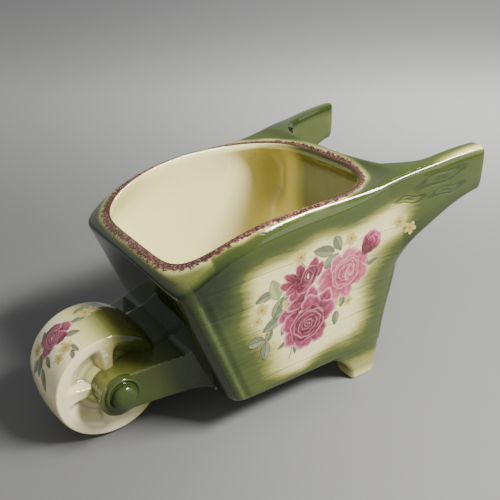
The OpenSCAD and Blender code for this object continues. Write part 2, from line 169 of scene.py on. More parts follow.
# Moulded relief of the sides: a rounded stile along the front edge with a groove behind it, and a panel
# set back a little, with a narrow strip along the bottom and back edges.
v_of = np.concatenate([np.zeros(len(under)), wall_v, np.ones(len(rim_w))])[:, None]
from_front = outer[..., 0] - (floor_front + (-83 - floor_front) * v_of)
from_back = floor_back + 4 * v_of - outer[..., 0]
on_side = smoothstep(0.6, 0.95, np.abs(grid_normals(outer)[..., 1])) * smoothstep(0.01, 0.03, v_of)
stile = smoothstep(0, 3, from_front) * (1 - smoothstep(6.5, 9.5, from_front))
groove = smoothstep(7, 10, from_front) * (1 - smoothstep(10.5, 15, from_front))
panel = smoothstep(12, 16, from_front) * smoothstep(5.5, 8, from_back) * smoothstep(0.045, 0.075, v_of)
relief = on_side * (0.9 * stile - 0.9 * groove - 0.5 * panel) * (1 - smoothstep(0.84, 0.93, v_of))
root_clear = 1 - smoothstep(55, 66, outer[..., 0]) * smoothstep(0.38, 0.46, v_of)
outer += grid_normals(outer) * (relief * root_clear)[..., None]

# Below each handle the back corner swells out to meet it, so the lower edge sweeps back in one curve.
swell = (smoothstep(30, 92, outer[..., 2]) * (1 - smoothstep(112, 150, outer[..., 2]))
         * smoothstep(58, 82, outer[..., 0]) * smoothstep(44, 68, np.abs(outer[..., 1])))
outer += np.stack([6.6 * swell, 0.6 * swell * np.sign(outer[..., 1]), 0 * swell], 2)

inner_foot = drawn_in(np.concatenate([foot_line[:4], [7, 11], foot_line[6:]]), 5)
inner_top = drawn_in(lowered(np.concatenate([fold_line[:4], [7, 9], fold_line[6:]]), 14), 6)
under_lip = ring(lowered(drawn_in(lip_line, 1.8), 4.5))
shoulder = ring(inner_top)
inner = ([ring(lowered(drawn_in(lip_line, d), z)) for d, z in ((0.5, 0.05), (1.1, 0.4), (1.5, 1.1),
                                                               (1.75, 2.4))]
         + [under_lip] + [under_lip + (shoulder - under_lip) * s
                          for s in (0.12, 0.25, 0.4, 0.55, 0.7, 0.85)]
         + [ring(inner_foot + (inner_top - inner_foot) * v) for v in np.linspace(1, 0.03, 34)]
         + [ring(lowered(drawn_in(inner_foot, d), -z)) for d, z in ((0.6, 1.6), (1.5, 3), (3, 4.3), (6, 5),
                                                                    (12, 5), (25, 5), (45, 5))])
inner = np.array(inner)
soften(inner, 5, 14, 14)
soften(inner, 40, 49, 10)

# The handles are hollow and open into the tub, so its inner wall runs back into them at the two corners.
root_k0, root_k1 = 32, 88
root_j0 = int(np.argmin(np.abs(level_at - 6)))
root_j1 = int(np.argmin(np.abs(level_at - 15)))
hollow_deep = 9


def hollow(rows, side_edge, back_edge):
    """Pushes the corners of a stack of rings back into the handles."""
    k = np.minimum(stations, 64 - stations)[None, :]
    z = rows[..., 2]
    push = (1 - smoothstep(side_edge - 2.5, side_edge, k)) * smoothstep(back_edge, back_edge + 3, k)
    push = push * smoothstep(84, 108, z) * (1 - smoothstep(118, 142, z))
    toward = np.stack([np.full_like(z, 0.95), np.where(rows[..., 1] > 0, -0.2, 0.2), np.full_like(z, 0.1)],
                      2)
    return rows + toward * (push * hollow_deep)[..., None]


inner = hollow(inner, 10.8, 3.6)

skin = np.concatenate([outer, inner])


def ring_quads(rows, n, start=0, closed=True):
    """Quads between neighbouring rings, as an array."""
    j, k = np.meshgrid(np.arange(rows - 1), np.arange(n if closed else n - 1), indexing="ij")
    a = start + j * n + k
    b = start + j * n + (k + 1) % n
    return np.stack([a, b, b + n, a + n], -1).reshape(-1, 4)


def vertex_normals(points, faces):
    f = np.asarray(faces)
    n = np.cross(points[f[:, 2]] - points[f[:, 0]], points[f[:, 3]] - points[f[:, 1]])
    out = np.zeros_like(points)
    for c in range(4):
        np.add.at(out, f[:, c], n)
    return out


def shape(name, points, faces, tris=()):
    """A smooth mesh from points in millimetres, with quads and the triangles that close its poles."""
    mesh = bpy.data.meshes.new(name)
    mesh.from_pydata(((points - shift) / 1000).tolist(), [], np.asarray(faces).tolist()
                     + [list(t) for t in tris])
    mesh.shade_smooth()
    piece = bpy.data.objects.new(name, mesh)
    bpy.context.scene.collection.objects.link(piece)
    return piece


def note(piece, name, values):
    """Keeps one number per vertex, for the glaze to read."""
    layer = piece.data.attributes.new(name, "FLOAT", "POINT")
    layer.data.foreach_set("value", np.asarray(values, np.float32).ravel())


def points_of(piece):
    co = np.zeros(len(piece.data.vertices) * 3, np.float32)
    piece.data.vertices.foreach_get("co", co)
    return co.reshape(-1, 3).astype(float) * 1000 + shift


def normals_of(piece):
    co = np.zeros(len(piece.data.vertices) * 3, np.float32)
    piece.data.vertex_normals.foreach_get("vector", co)
    return co.reshape(-1, 3).astype(float)


def note_edges(piece, passes=2):
    """Glaze thins over an edge and pools in a hollow: notes how sharply the surface bends."""
    p, n = points_of(piece), normals_of(piece)
    e = np.zeros(len(piece.data.edges) * 2, np.int32)
    piece.data.edges.foreach_get("vertices", e)
    e = e.reshape(-1, 2)
    d = p[e[:, 1]] - p[e[:, 0]]
    length = np.maximum((d * d).sum(1), 1e-4)
    bend = ((n[e[:, 1]] - n[e[:, 0]]) * d).sum(1) / length
    weight = np.sqrt(length)
    total, count = np.zeros(len(p)), np.zeros(len(p))
    for c in (0, 1):
        np.add.at(total, e[:, c], bend * weight)
        np.add.at(count, e[:, c], weight)
    bend = total / np.maximum(count, 1e-9)
    for _ in range(passes):
        total, count = bend * 2, np.full(len(p), 2.0)
        for c in (0, 1):
            np.add.at(total, e[:, c], bend[e[:, 1 - c]])
            np.add.at(count, e[:, c], 1)
        bend = total / count
    note(piece, "edge", np.clip(bend, -1, 1))


n_ring = 512
rows_n = len(skin)
tub_points = np.concatenate([skin.reshape(-1, 3), [[15, 0, floor_z], [15, 0, floor_z + 5]]])
tub_quads = ring_quads(rows_n, n_ring)
cell_j, cell_k = tub_quads[:, 0] // n_ring, tub_quads[:, 0] % n_ring
under_handle = ((cell_j >= root_j0) & (cell_j < root_j1)
                & (((cell_k >= root_k0) & (cell_k < root_k1))
                   | ((cell_k >= n_ring - root_k1) & (cell_k < n_ring - root_k0))))

# Handles
bar_start = 103
horn_rows = 26


def bar_section(s, x, inset=0.0):
    """Points at places s, 0 to 4 round the section at x: outer face, top, inner face, underside."""
    side = np.floor(s).astype(int) % 4
    f = s - np.floor(s)
    u = corner_share(5) * np.sin(np.pi / 2 * (2 * f - 1))
    v = (1 - np.abs(u) ** 5) ** 0.2
    py = np.choose(side, [v, -u, -v, u])
    pz = np.choose(side, [u, v, -u, -v])
    along = (x - bar_start) / (tip_x - bar_start)
    back = max(0.0, 1 - along)
    half_z = handle_deep / 2 + 8 * back ** 1.5
    top = floor_z + 124 + 14.5 - 6 * back ** 1.6
    mid_y = 75 - handle_thick / 2 + 2.5 + 10 * (x - 86) / 64 * 0.75
    hy, hz = handle_thick / 2 - inset, half_z - inset
    y = mid_y + py * hy
    z = top - half_z - 1.5 + pz * hz - 0.2 * py * hy
    return np.stack([np.full_like(y, x), y, z], 1)


loop = ([(root_k1, j) for j in range(root_j0, root_j1)]
        + [(k, root_j1) for k in range(root_k1, root_k0, -1)]
        + [(root_k0, j) for j in range(root_j1, root_j0, -1)]
        + [(k, root_j0) for k in range(root_k0, root_k1)])
loop = np.array(loop)
loop_k, loop_j = loop[:, 0], loop[:, 1]
lev = level_at[loop_j]
place = np.where(lev <= 12.5, (lev - 6) / 6.5, 1 + 0.35 * (lev - 12.5) / 2.5)
at_top = (loop_j == root_j1) & (loop_k < root_k1)
place = np.where(at_top, 1.35 + 0.4 * (root_k1 - loop_k) / (root_k1 - root_k0), place)
at_in = ((loop_k == root_k0) & (loop_j > root_j0) & (loop_j < root_j1 + 1)
         & ~((loop_j == root_j1) & (loop_k > root_k0)))
place = np.where(at_in, np.where(lev >= 12.5, 2 - 0.25 * (lev - 12.5) / 2.5, 2 + (12.5 - lev) / 6.5), place)
at_low = (loop_j == root_j0) & (loop_k < root_k1)
place = np.where(at_low, 3 + (loop_k - root_k0) / (root_k1 - root_k0), place)
root = outer[loop_j, loop_k]
step_k = np.where(loop_k == root_k1, 1, np.where(loop_k == root_k0, -1, 0))
step_j = np.where(loop_j == root_j1, 1, np.where(loop_j == root_j0, -1, 0))
away = root - outer[loop_j + step_j, loop_k + step_k]
away /= np.linalg.norm(away, axis=1, keepdims=True)
for _ in range(6):
    mixed = (np.roll(away, 1, 0) + away * 2 + np.roll(away, -1, 0)) / 4
    corner = np.zeros(len(loop))
    for kk, jj in ((root_k0, root_j0), (root_k0, root_j1), (root_k1, root_j0), (root_k1, root_j1)):
        corner = np.maximum(corner, np.exp(-(((loop_k - kk) / 5) ** 2 + ((loop_j - jj) / 4) ** 2)))
    away += (mixed - away) * corner[:, None]
away /= np.linalg.norm(away, axis=1, keepdims=True)
pull = 13 + 11 * smoothstep(6, 8, lev)
first = bar_section(place, bar_start)
horn = [root]
for s in np.linspace(0, 1, horn_rows + 1)[1:]:
    h00, h10 = 2 * s ** 3 - 3 * s * s + 1, s ** 3 - 2 * s * s + s
    h01, h11 = 3 * s * s - 2 * s ** 3, s ** 3 - s * s
    horn.append(root * h00 + away * pull[:, None] * h10 + first * h01 + np.array([26, 2, 2]) * h11)
tip_round = 4.6
for x in np.linspace(bar_start, tip_x - tip_round, 64)[1:]:
    horn.append(bar_section(place, x))
for a in np.linspace(0, 1, 9)[1:]:
    turn_in = tip_round * (1 - math.cos(a * math.pi / 2))
    horn.append(bar_section(place, tip_x - tip_round + tip_round * math.sin(a * math.pi / 2), turn_in))
horn = np.array(horn)
# The wet joint of root and bar was drawn out by hand, so the sweep from one to the other has no corner.
sweep = np.clip(np.arange(len(horn)) / 5, 0, 1) * (1 - smoothstep(horn_rows + 14, horn_rows + 28,
                                                                  np.arange(len(horn))))
for _ in range(90):
    mean = horn.copy()
    mean[1:-1] = (horn[:-2] + 2 * horn[1:-1] + horn[2:]) / 4
    horn += (mean - horn) * sweep[:, None, None]
cap_rows = [horn[-1] * (1 - t) + horn[-1].mean(0) * t for t in (0.3, 0.65)]
horn_all = np.concatenate([horn, cap_rows])
loop_n = len(loop)
handle_points = np.concatenate([horn_all.reshape(-1, 3), [horn[-1].mean(0)]])
handle_quads = ring_quads(len(horn_all), loop_n)
last = (len(horn_all) - 1) * loop_n
handle_tris = [(last + i, last + (i + 1) % loop_n, last + loop_n) for i in range(loop_n)]

# The root of each handle is closed by the sleeve of the tub's corner that plugs into it.
sleeve_j, sleeve_k = np.meshgrid(np.arange(root_j0, root_j1 + 1), np.arange(root_k0, root_k1 + 1),
                                 indexing="ij")
edge_gap = np.minimum.reduce([sleeve_j - root_j0, root_j1 - sleeve_j, sleeve_k - root_k0, root_k1
                              - sleeve_k])
plugged = edge_gap > 0
pushed = (hollow_deep * smoothstep(0, 9, edge_gap))[..., None]
near_top = smoothstep(root_j1 - 14, root_j1, sleeve_j[plugged])[:, None]
sleeve = outer[sleeve_j, sleeve_k] + np.array([0.95, -0.2, 0.0]) * pushed
sleeve[plugged] -= np.array([0, 0, 2.0]) * near_top
for side in (1, -1):
    kk = sleeve_k if side == 1 else (n_ring - sleeve_k) % n_ring
    tub_points[(sleeve_j * n_ring + kk)] = sleeve * [1, side, 1]
sleeve_ids = np.full(sleeve_j.shape, -1)
loop_id = {(int(k), int(j)): i for i, (k, j) in enumerate(loop)}
extra = []
for a in range(sleeve_j.shape[0]):
    for b in range(sleeve_j.shape[1]):
        key = (int(sleeve_k[a, b]), int(sleeve_j[a, b]))
        if key in loop_id:
            sleeve_ids[a, b] = loop_id[key]
        else:
            sleeve_ids[a, b] = len(handle_points) + len(extra)
            extra.append(sleeve[a, b])
handle_points = np.concatenate([handle_points, extra])
widest, highest = 84.3, 162.3
handle_points = np.clip(handle_points, None, [tip_x, widest, highest])
sleeve_corners = [sleeve_ids[:-1, :-1], sleeve_ids[1:, :-1], sleeve_ids[1:, 1:], sleeve_ids[:-1, 1:]]
sleeve_quads = np.stack(sleeve_corners, -1).reshape(-1, 4)

tub_n = vertex_normals(tub_points, tub_quads[~under_handle])
handle_n = vertex_normals(handle_points, handle_quads)
handle_n[-len(extra):] = [1, 0, 0]
handle_n[(len(horn_all)) * loop_n] = [1, 0, 0]
right_ids = loop_j * n_ring + loop_k
left_ids = loop_j * n_ring + n_ring - loop_k
joint_n = tub_n[right_ids] + handle_n[:loop_n]
handle_n[:loop_n] = joint_n
tub_n[right_ids] = joint_n
tub_n[left_ids] = joint_n * [1, -1, 1]
tub_n[-2:] = [[0, 0, -1], [0, 0, 1]]
lost = np.linalg.norm(tub_n, axis=1) < 1e-9
tub_n[lost] = [1, 0, 0]
tub_n /= np.linalg.norm(tub_n, axis=1, keepdims=True)
handle_n /= np.maximum(np.linalg.norm(handle_n, axis=1, keepdims=True), 1e-9)

pole_low, pole_high = len(tub_points) - 2, len(tub_points) - 1
tub_tris = [(pole_low, (i + 1) % n_ring, i) for i in range(n_ring)]
tub_tris += [(pole_high, (rows_n - 1) * n_ring + i, (rows_n - 1) * n_ring + (i + 1) % n_ring)
             for i in range(n_ring)]
tub = shape("tub", tub_points, tub_quads, tub_tris)
tub.data.normals_split_custom_set_from_vertices(tub_n.tolist())
handles = {}
for name, side in (("handle_right", 1), ("handle_left", -1)):
    quads = np.concatenate([handle_quads, sleeve_quads])
    tris = handle_tris
    if side == -1:
        quads = quads[:, ::-1]
        tris = [t[::-1] for t in tris]
    handles[name] = shape(name, handle_points * [1, side, 1], quads, tris)
    handles[name].data.normals_split_custom_set_from_vertices((handle_n * [1, side, 1]).tolist())


def top_height(x):
    """Height of the fold along a side, and then of the handle's top."""
    return np.interp(x, [-83, -70, -50, -20, 10, 40, 66, 86, 103, 120, 150],
                     [108, 117, 127.5, 134, 136, 137, 141, 148, 156, 160, 162])


def low_height(x):
    """Height of the lower edge of a handle behind the tub."""
    return np.interp(x, [78, 82, 86, 90, 100, 112, 125, 137, 150],
                     [40, 84, 101, 107, 114, 119.5, 123, 126, 131])


lip_points = outer[-1][::2]


def lip_gap(p):
    gap = np.full(len(p), 99.0)
    near = np.where(p[:, 2] > 90)[0]
    for part in np.array_split(near, max(1, len(near) // 4000)):
        d = p[part][:, None, :] - lip_points[None]
        gap[part] = np.sqrt((d * d).sum(2)).min(1)
    return gap


def body_spray_and_shade(p, n, inside):
    """How much green was sprayed over the ivory at points p with normals n, 0 to 1, with painted shade
    inside at the back.
    """
    x, y, z = p.T
    ay = np.abs(y)
    front = x - (floor_front - 34 * (z - 25) / 84)
    bottom = z - 25
    top = top_height(x) - z
    back = floor_back + 4 * (z - 25) / 124 - x
    under_bar = np.where(x > 80, z - low_height(x), 40)
    wobble = 3 * np.sin(x * 0.11 + z * 0.05) + 2 * np.sin(x * 0.047 - z * 0.13 + 1)
    back = np.where(z < 100, back, back + 20 * smoothstep(100, 116, z))
    cream = (smoothstep(4, 46 + 14 * (1 - smoothstep(40, 90, z)), front + wobble - 5 - 0.10 * (z - 60) - 9
                        * smoothstep(108, 122, z))
             * smoothstep(2, 13 + 0.36 * np.clip(x - 5, 0, 45), bottom + wobble * 0.5)
             * smoothstep(6, 44, back + wobble * 0.5 + 7 * smoothstep(84, 96, z))
             * smoothstep(3, 20, top + wobble * 0.4 + 0.12 * np.clip(x, -30, 10))
             * smoothstep(2, 24, under_bar) * (1 - 0.55 * smoothstep(80, 108, x)))
    corner = (1 - smoothstep(20, 62, front)) * (1 - smoothstep(16, 52, top))
    side = 0.60 - 0.56 * cream + 0.34 * corner + 0.1 * (1 - smoothstep(6, 18, front)) * (1 - corner)
    side = np.where(front < 11, np.minimum(side, 0.66), side)
    side = side + 0.10 * (1 - smoothstep(3, 12, under_bar)) * (x > 80)
    gap = lip_gap(p)
    deck = 0.12 + 0.5 * smoothstep(2.5, 8.5, gap + 0.6 * np.sin(x * 0.35))
    deck = np.where(x < -60, 0.24 + 0.3 * smoothstep(4, 11, gap) - 0.16
                    * smoothstep(20, 60, -y * (x < -60)), deck)
    along = smoothstep(96, 146, x)
    stripe = np.exp(-((ay - (75 + (x - 86) * 0.117)) / 3.4) ** 2) * smoothstep(96, 118, x)
    grip = 0.62 - 0.22 * stripe - 0.34 * along * np.exp(-((ay - (74.5 + (x - 86) * 0.117)) / 5.5) ** 2)
    deck = deck * (1 - smoothstep(78, 100, x)) + grip * smoothstep(78, 100, x)
    hand_in = 0.55 + 0.3 * (1 - smoothstep(2, 9, np.minimum(under_bar, np.maximum(top, 0)))) - 0.05 * along
    wall_front = 0.96 - 0.12 * smoothstep(50, 72, ay) - 0.2 * (1 - smoothstep(2, 10, bottom))
    plain_back = smoothstep(8, 34, bottom) * smoothstep(10, 34, 145 - z) * (1 - smoothstep(30, 60, ay))
    wall_back = 0.66 - 0.5 * plain_back
    up = smoothstep(0.35, 0.75, n[:, 2])
    fwd = smoothstep(0.5, 0.85, -n[:, 0])
    rear = smoothstep(0.5, 0.85, n[:, 0]) * (x < 100)
    outw = n[:, 1] * np.sign(y)
    side = np.where((outw < -0.2) & (x > 80), hand_in, side)
    tip = smoothstep(tip_x - 7, tip_x - 2, x) * smoothstep(0.3, 0.8, n[:, 0])
    value = side * (1 - fwd) + wall_front * fwd
    value = value * (1 - rear) + wall_back * rear
    value = value * (1 - tip) + (0.6 - 0.35 * smoothstep(150, 160, z)) * tip
    value = value * (1 - up) + deck * up
    value = np.where(n[:, 2] < -0.7, 0.72, value)
    hollow_tint = smoothstep(52, 78, x) * smoothstep(28, 56, ay) * smoothstep(70, 100, z)
    mouth = 0.16 * (1 - smoothstep(3, 22, gap)) * (1 - smoothstep(-60, -20, x))
    # Painted shade: inside, the back of the tub is coloured darker, most toward the near side, where the
    # back wall gets no light.
    rear_painted_shade = smoothstep(50, 76, x) * (1 - smoothstep(10, 50, y)) * smoothstep(60, 110, z)
    inside_spray_and_painted_shade = 0.01 + 0.2 * hollow_tint + mouth + 0.66 * rear_painted_shade
    return np.clip(np.where(inside, inside_spray_and_painted_shade, value), 0, 1), gap


inside = np.zeros(len(tub_points), bool)
inside[len(outer) * n_ring:-2] = True
inside[-1] = True
for piece, n, within in (
        (tub, tub_n, inside), (handles["handle_right"], handle_n, np.zeros(len(handle_n), bool)),
        (handles["handle_left"], handle_n * [1, -1, 1], np.zeros(len(handle_n), bool))):
    p = points_of(piece)
    spray, gap = body_spray_and_shade(p, n, within)
    # The tub's spray note also carries the painted shade at the back of the interior.
    note(piece, "spray", spray)
    note(piece, "lip", np.where(within, 60, gap * (1 - 0.35 * smoothstep(-40, -62, p[:, 0]))))
    note(piece, "side", np.clip(np.abs(n[:, 1]) * 1.4 - 0.3, 0, 1) * ~within * (p[:, 0] < 96)
         * (p[:, 2] < top_height(p[:, 0]) - 8))
    note(piece, "knots", smoothstep(0.6, 0.9, n[:, 1] * np.sign(p[:, 1])) * smoothstep(68, 78, p[:, 0])
         * ~within)
    note_edges(piece)
    # The joint is luted smooth, so the glaze doesn't wear or pool along it as it does along an edge.
    layer = piece.data.attributes["edge"]
    bend = np.zeros(len(piece.data.vertices), np.float32)
    layer.data.foreach_get("value", bend)
    if piece is tub:
        near_joint = np.zeros((rows_n, n_ring), bool)
        for kk in (slice(root_k0 - 3, root_k1 + 4), slice(n_ring - root_k1 - 3, n_ring - root_k0 + 4)):
            near_joint[root_j0 - 3:root_j1 + 4, kk] = True
        bend[:rows_n * n_ring][near_joint.ravel()] = 0
    else:
        bend[:loop_n * 4] = 0
    layer.data.foreach_set("value", bend)


def linear(r, g, b):
    """A colour given as it is seen, as the shader takes it."""
    return tuple(((c + 0.055) / 1.055) ** 2.4 if c > 0.04045 else c / 12.92 for c in (r, g, b)) + (1.0,)


class Value:
    """A number that varies over a surface; arithmetic on it adds the Math nodes."""

    def __init__(self, paint, socket):
        self.paint, self.socket = paint, socket

    def _math(self, operation, a, b):
        return self.paint.node("ShaderNodeMath", {"operation": operation}, {0: a, 1: b})

    def __add__(self, other):
        return self._math("ADD", self, other)

    def __sub__(self, other):
        return self._math("SUBTRACT", self, other)

    def __rsub__(self, other):
        return self._math("SUBTRACT", other, self)

    def __mul__(self, other):
        return self._math("MULTIPLY", self, other)

    def __truediv__(self, other):
        return self._math("DIVIDE", self, other)

    __radd__, __rmul__ = __add__, __mul__


class Paint:
    """A material and its nodes."""

    def __init__(self, name):
        self.material = bpy.data.materials.new(name)
        self.material.use_nodes = True
        self.tree = self.material.node_tree
        self.tree.nodes.clear()
        self.shader = self.tree.nodes.new("ShaderNodeBsdfPrincipled")
        out = self.tree.nodes.new("ShaderNodeOutputMaterial")
        self.tree.links.new(self.shader.outputs[0], out.inputs[0])
        self.object = self.node("ShaderNodeTexCoord", out=3)

    def node(self, kind, settings=None, inputs=None, out=0):
        n = self.tree.nodes.new(kind)
        for key, value in (settings or {}).items():
            if key == "stops":
                ramp = n.color_ramp
                while len(ramp.elements) < len(value):
                    ramp.elements.new(0.5)
                for element, (at, colour) in zip(ramp.elements, value):
                    element.position, element.color = at, colour
            else:
                setattr(n, key, value)
        self.wire(n, inputs or {})
        return Value(self, n.outputs[out])

    def wire(self, n, inputs):
        for key, value in inputs.items():
            if isinstance(value, Value):
                self.tree.links.new(value.socket, n.inputs[key])
            else:
                n.inputs[key].default_value = value

    def mix(self, factor, a, b):
        return self.node("ShaderNodeMix", {"data_type": "RGBA"}, {0: factor, 6: a, 7: b}, out=2)

    def step(self, x, lo, hi, a=0.0, b=1.0):
        return self.node("ShaderNodeMapRange", {"interpolation_type": "SMOOTHSTEP"},
                         {0: x, 1: lo, 2: hi, 3: a, 4: b})

    def wave(self, x):
        return self.node("ShaderNodeMath", {"operation": "SINE"}, {0: x})

    def root(self, x):
        return self.node("ShaderNodeMath", {"operation": "SQRT"}, {0: x})

    def size(self, x):
        return self.node("ShaderNodeMath", {"operation": "ABSOLUTE"}, {0: x})

    def part(self, axis):
        """One of the object coordinates."""
        return self.node("ShaderNodeSeparateXYZ", None, {0: self.object}, out=axis)

    def noted(self, name):
        return self.node("ShaderNodeAttribute", {"attribute_name": name}, out=2)

    def noise(self, scale, detail=2.0, stretch=None):
        at = self.object
        if stretch:
            at = self.node("ShaderNodeMapping", None, {0: at, 3: stretch})
        return self.node("ShaderNodeTexNoise", None, {"Vector": at, "Scale": scale, "Detail": detail})


def glaze(name, planked=False, lipped=False, pale=(0.96, 0.92, 0.68), mid=(0.29, 0.33, 0.13),
          deep=(0.085, 0.11, 0.03)):
    """Clear gloss over ivory, with airbrushed green where the piece's spray note says; on the tub that note
    also holds painted shade.
    """
    paint = Paint(name)
    spray = paint.noted("spray")
    cloud = paint.noise(28, 3)
    grain = paint.noise(900, 2)
    amount = spray + (cloud - 0.5) * 0.16 * paint.step(spray, 0.05, 0.4)
    amount = amount + (grain - 0.5) * 0.1 * paint.step(spray, 0.08, 0.5)
    if planked:
        # Wavy grain is scratched along the planks, and the green gathers in it.
        board = paint.noted("side")
        wavy = paint.noise(55, 4, (1.0, 1.0, 7.0))
        fine = paint.noise(150, 3, (1.0, 1.0, 9.0))
        ripple = (wavy - 0.5) * 1.1 + (fine - 0.5) * 0.5
        place, along = paint.part(2), paint.part(0)
        height = place * 1000 - along * 40 + (paint.noise(22, 1) - 0.5) * 5
        joint = paint.node("ShaderNodeMath", {"operation": "PINGPONG"}, {0: height - 47 + 200, 1: 9.5})
        seam = paint.step(joint, 0.0, 0.9, 1.0, 0.0) * board
        # Three long knots are pressed into each handle's outer face, and the green pools in their lines.
        knots = paint.noted("knots")
        place_x, place_z = along * 1000 + shift[0], place * 1000
        press = None
        knots_at = ((110, 146, 20, 4.0, 0.2), (116, 136.3, 15, 2.7, 0.14), (86, 134.5, 12, 2.6, -0.02))
        for kx, kz, long, tall, slope in knots_at:
            dx = (place_x - kx) / long
            dz = (place_z - (kz - slope * kx) - place_x * slope + paint.wave(dx * 4.5) * 0.8) / tall
            r = paint.root(dx * dx + dz * dz)
            line = paint.step(paint.size(r - 0.9), 0.02, 0.34, 1.0, 0.0) + paint.step(r, 0.1, 0.5, 0.7, 0.0)
            press = line if press is None else press + line
        press = press * knots
        amount = amount + press * 0.13
        amount = amount + ripple * board * 0.22 * paint.step(spray, 0.03, 0.3, 0.5, 1.0) + seam * 0.07
    colour = paint.node("ShaderNodeValToRGB", {"stops": [
        (0.0, linear(*pale)), (0.14, linear(0.84, 0.80, 0.52)), (0.32, linear(0.55, 0.55, 0.27)),
        (0.5, linear(*mid)), (0.74, linear(0.185, 0.235, 0.075)), (1.0, linear(*deep))]}, {0: amount})
    edge = paint.noted("edge")
    worn = paint.step(edge + (paint.noise(260, 2) - 0.5) * 0.08, 0.2, 0.45) * 0.32
    colour = paint.mix(worn, colour, linear(0.66, 0.64, 0.42))
    pooled = paint.step(edge, -0.04, -0.22) * 0.45
    colour = paint.mix(pooled, colour, linear(0.20, 0.24, 0.09))
    craze = paint.node("ShaderNodeTexVoronoi", {"feature": "DISTANCE_TO_EDGE"},
                       {"Vector": paint.object, "Scale": 190})
    crack = paint.step(craze, 0.0, 0.022, 1.0, 0.0)
    colour = paint.mix(crack * 0.16, colour, linear(0.42, 0.36, 0.2))
    speck = paint.node("ShaderNodeTexVoronoi", None, {"Vector": paint.object, "Scale": 95})
    spot = paint.step(speck, 0.03, 0.055, 1.0, 0.0) * paint.step(paint.noise(40, 0), 0.60, 0.64)
    colour = paint.mix(spot * 0.8, colour, linear(0.16, 0.11, 0.06))
    if lipped:
        # Maroon is stippled on round the mouth with a sponge, and stops in a ragged line.
        gap = paint.noted("lip") + (paint.noise(300, 3) - 0.5) * 4.4 + (paint.noise(1300, 2) - 0.5) * 3.6
        stipple = paint.step(gap, 3.1, 3.9, 1.0, 0.0)
        thin = paint.step(paint.noise(700, 2), 0.34, 0.52, 0.72, 1.0)
        maroon = paint.mix(paint.step(paint.noise(120, 2), 0.4, 0.6), linear(0.24, 0.12, 0.09),
                           linear(0.36, 0.13, 0.17))
        colour = paint.mix(stipple * thin, colour, maroon)
    rough = 0.04 + paint.noise(120, 3) * 0.05 + crack * 0.05
    height = cloud * 0.4 + paint.noise(260, 2) * 0.03 - crack * 0.02 - spot * 0.3
    if planked:
        height = height + ripple * board * 0.35 - seam * 0.5 - press * 1.2
    bump = paint.node("ShaderNodeBump", None, {"Strength": 0.6, "Distance": 0.0005, "Height": height})
    paint.wire(paint.shader, {"Base Color": colour, "Roughness": rough, "Normal": bump, "Coat Weight": 0.35,
                              "Coat Roughness": 0.03, "IOR": 1.5})
    return paint.material


body_glaze = glaze("body_glaze", planked=True, lipped=True)
for piece, node in (
        (tub, "tub"), (handles["handle_left"], "handle_left"), (handles["handle_right"], "handle_right")):
    piece.data.materials.append(body_glaze)
    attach(piece, "root")
    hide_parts(node)

# ---- Lip line ----
# A line of copper lustre, brushed round the crest of the lip and fired on. It is a raised film along the
# tub's own ring.
crest = np.concatenate([outer[-2:], inner[:4]])
crest_n = grid_normals(crest)
lip_rows = np.stack([crest[1] * 0.6 + crest[0] * 0.4, crest[1], crest[2], crest[2] * 0.4 + crest[3] * 0.6])
lip_n = np.stack([crest_n[1], crest_n[1], crest_n[2], crest_n[3]])
lip_lift = np.array([0.0, 0.13, 0.13, 0.0])[:, None, None]
band_top = lip_rows + lip_n * lip_lift
band_low = lip_rows[::-1] - lip_n[::-1] * 0.1
band = np.concatenate([band_top, band_low])
band_quads = np.concatenate([ring_quads(len(band), n_ring),
                             np.array([[(len(band) - 1) * n_ring + k, (len(band) - 1) * n_ring
                                        + (k + 1) % n_ring,
                                        (k + 1) % n_ring, k] for k in range(n_ring)])])
lip_band = shape("lip_band", band.reshape(-1, 3), band_quads)
note(lip_band, "spray", np.zeros(len(lip_band.data.vertices)))
lustre = Paint("copper_lustre")
patchy = lustre.noise(90, 4)
brown = lustre.mix(lustre.step(patchy, 0.35, 0.65), linear(0.25, 0.12, 0.08), linear(0.46, 0.30, 0.15))
lustre.wire(lustre.shader, {"Base Color": brown, "Metallic": lustre.step(patchy, 0.3, 0.6, 0.1, 0.6),
                            "Roughness": 0.16 + lustre.noise(300, 2) * 0.16,
                            "Normal": lustre.node("ShaderNodeBump", None,
                                                  {"Strength": 0.3, "Distance": 0.0002, "Height": patchy})})
lip_band.data.materials.append(lustre.material)
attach(lip_band, "root")
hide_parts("lip_band")

# ---- Wheel ----
# A hollow drum cast in one, its crowned tread rolling into a flat rim and a dish with four soft spokes.
# The spokes run into dish and hub with sloping sides, so a turned profile is lifted where they stand.
wheel_x, wheel_z, wheel_r, wheel_half = -110, 38, 38, 24.5
dish_r, dish_deep = 29.5, 7.6
crown_r = (wheel_half ** 2 + 2.5 ** 2) / 5
face_r = np.concatenate([np.linspace(0, dish_r + 2, 52)[1:], [32.2, 33, 33.8]])
edge_r, arris = 34.1, 1.3
round_a = np.linspace(0, 1, 7) * math.pi / 2
tread_y = np.linspace(wheel_half - 1.4, -wheel_half + 1.4, 40)
profile = ([(r, wheel_half, 1) for r in face_r]
           + [(edge_r + arris * math.sin(a), wheel_half - arris * (1 - math.cos(a)), 0)
              for a in round_a[1:]]
           + [(wheel_r - crown_r + math.sqrt(crown_r ** 2 - y * y), y, 0) for y in tread_y[1:-1]]
           + [(edge_r + arris * math.sin(a), -wheel_half + arris * (1 - math.cos(a)), 0)
              for a in round_a[:0:-1]]
           + [(r, -wheel_half, 1) for r in face_r[::-1]])


def closed(name, rings, first, last, flip=False):
    """A shape from rings of points, with a fan of triangles to a pole at each end."""
    n = rings.shape[1]
    points = np.concatenate([rings.reshape(-1, 3), [first, last]])
    end = (len(rings) - 1) * n
    quads = ring_quads(len(rings), n)
    tris = [(len(points) - 2, (i + 1) % n, i) for i in range(n)]
    tris += [(len(points) - 1, end + i, end + (i + 1) % n) for i in range(n)]
    if flip:
        quads, tris = quads[:, ::-1], [t[::-1] for t in tris]
    return shape(name, points, quads, tris)


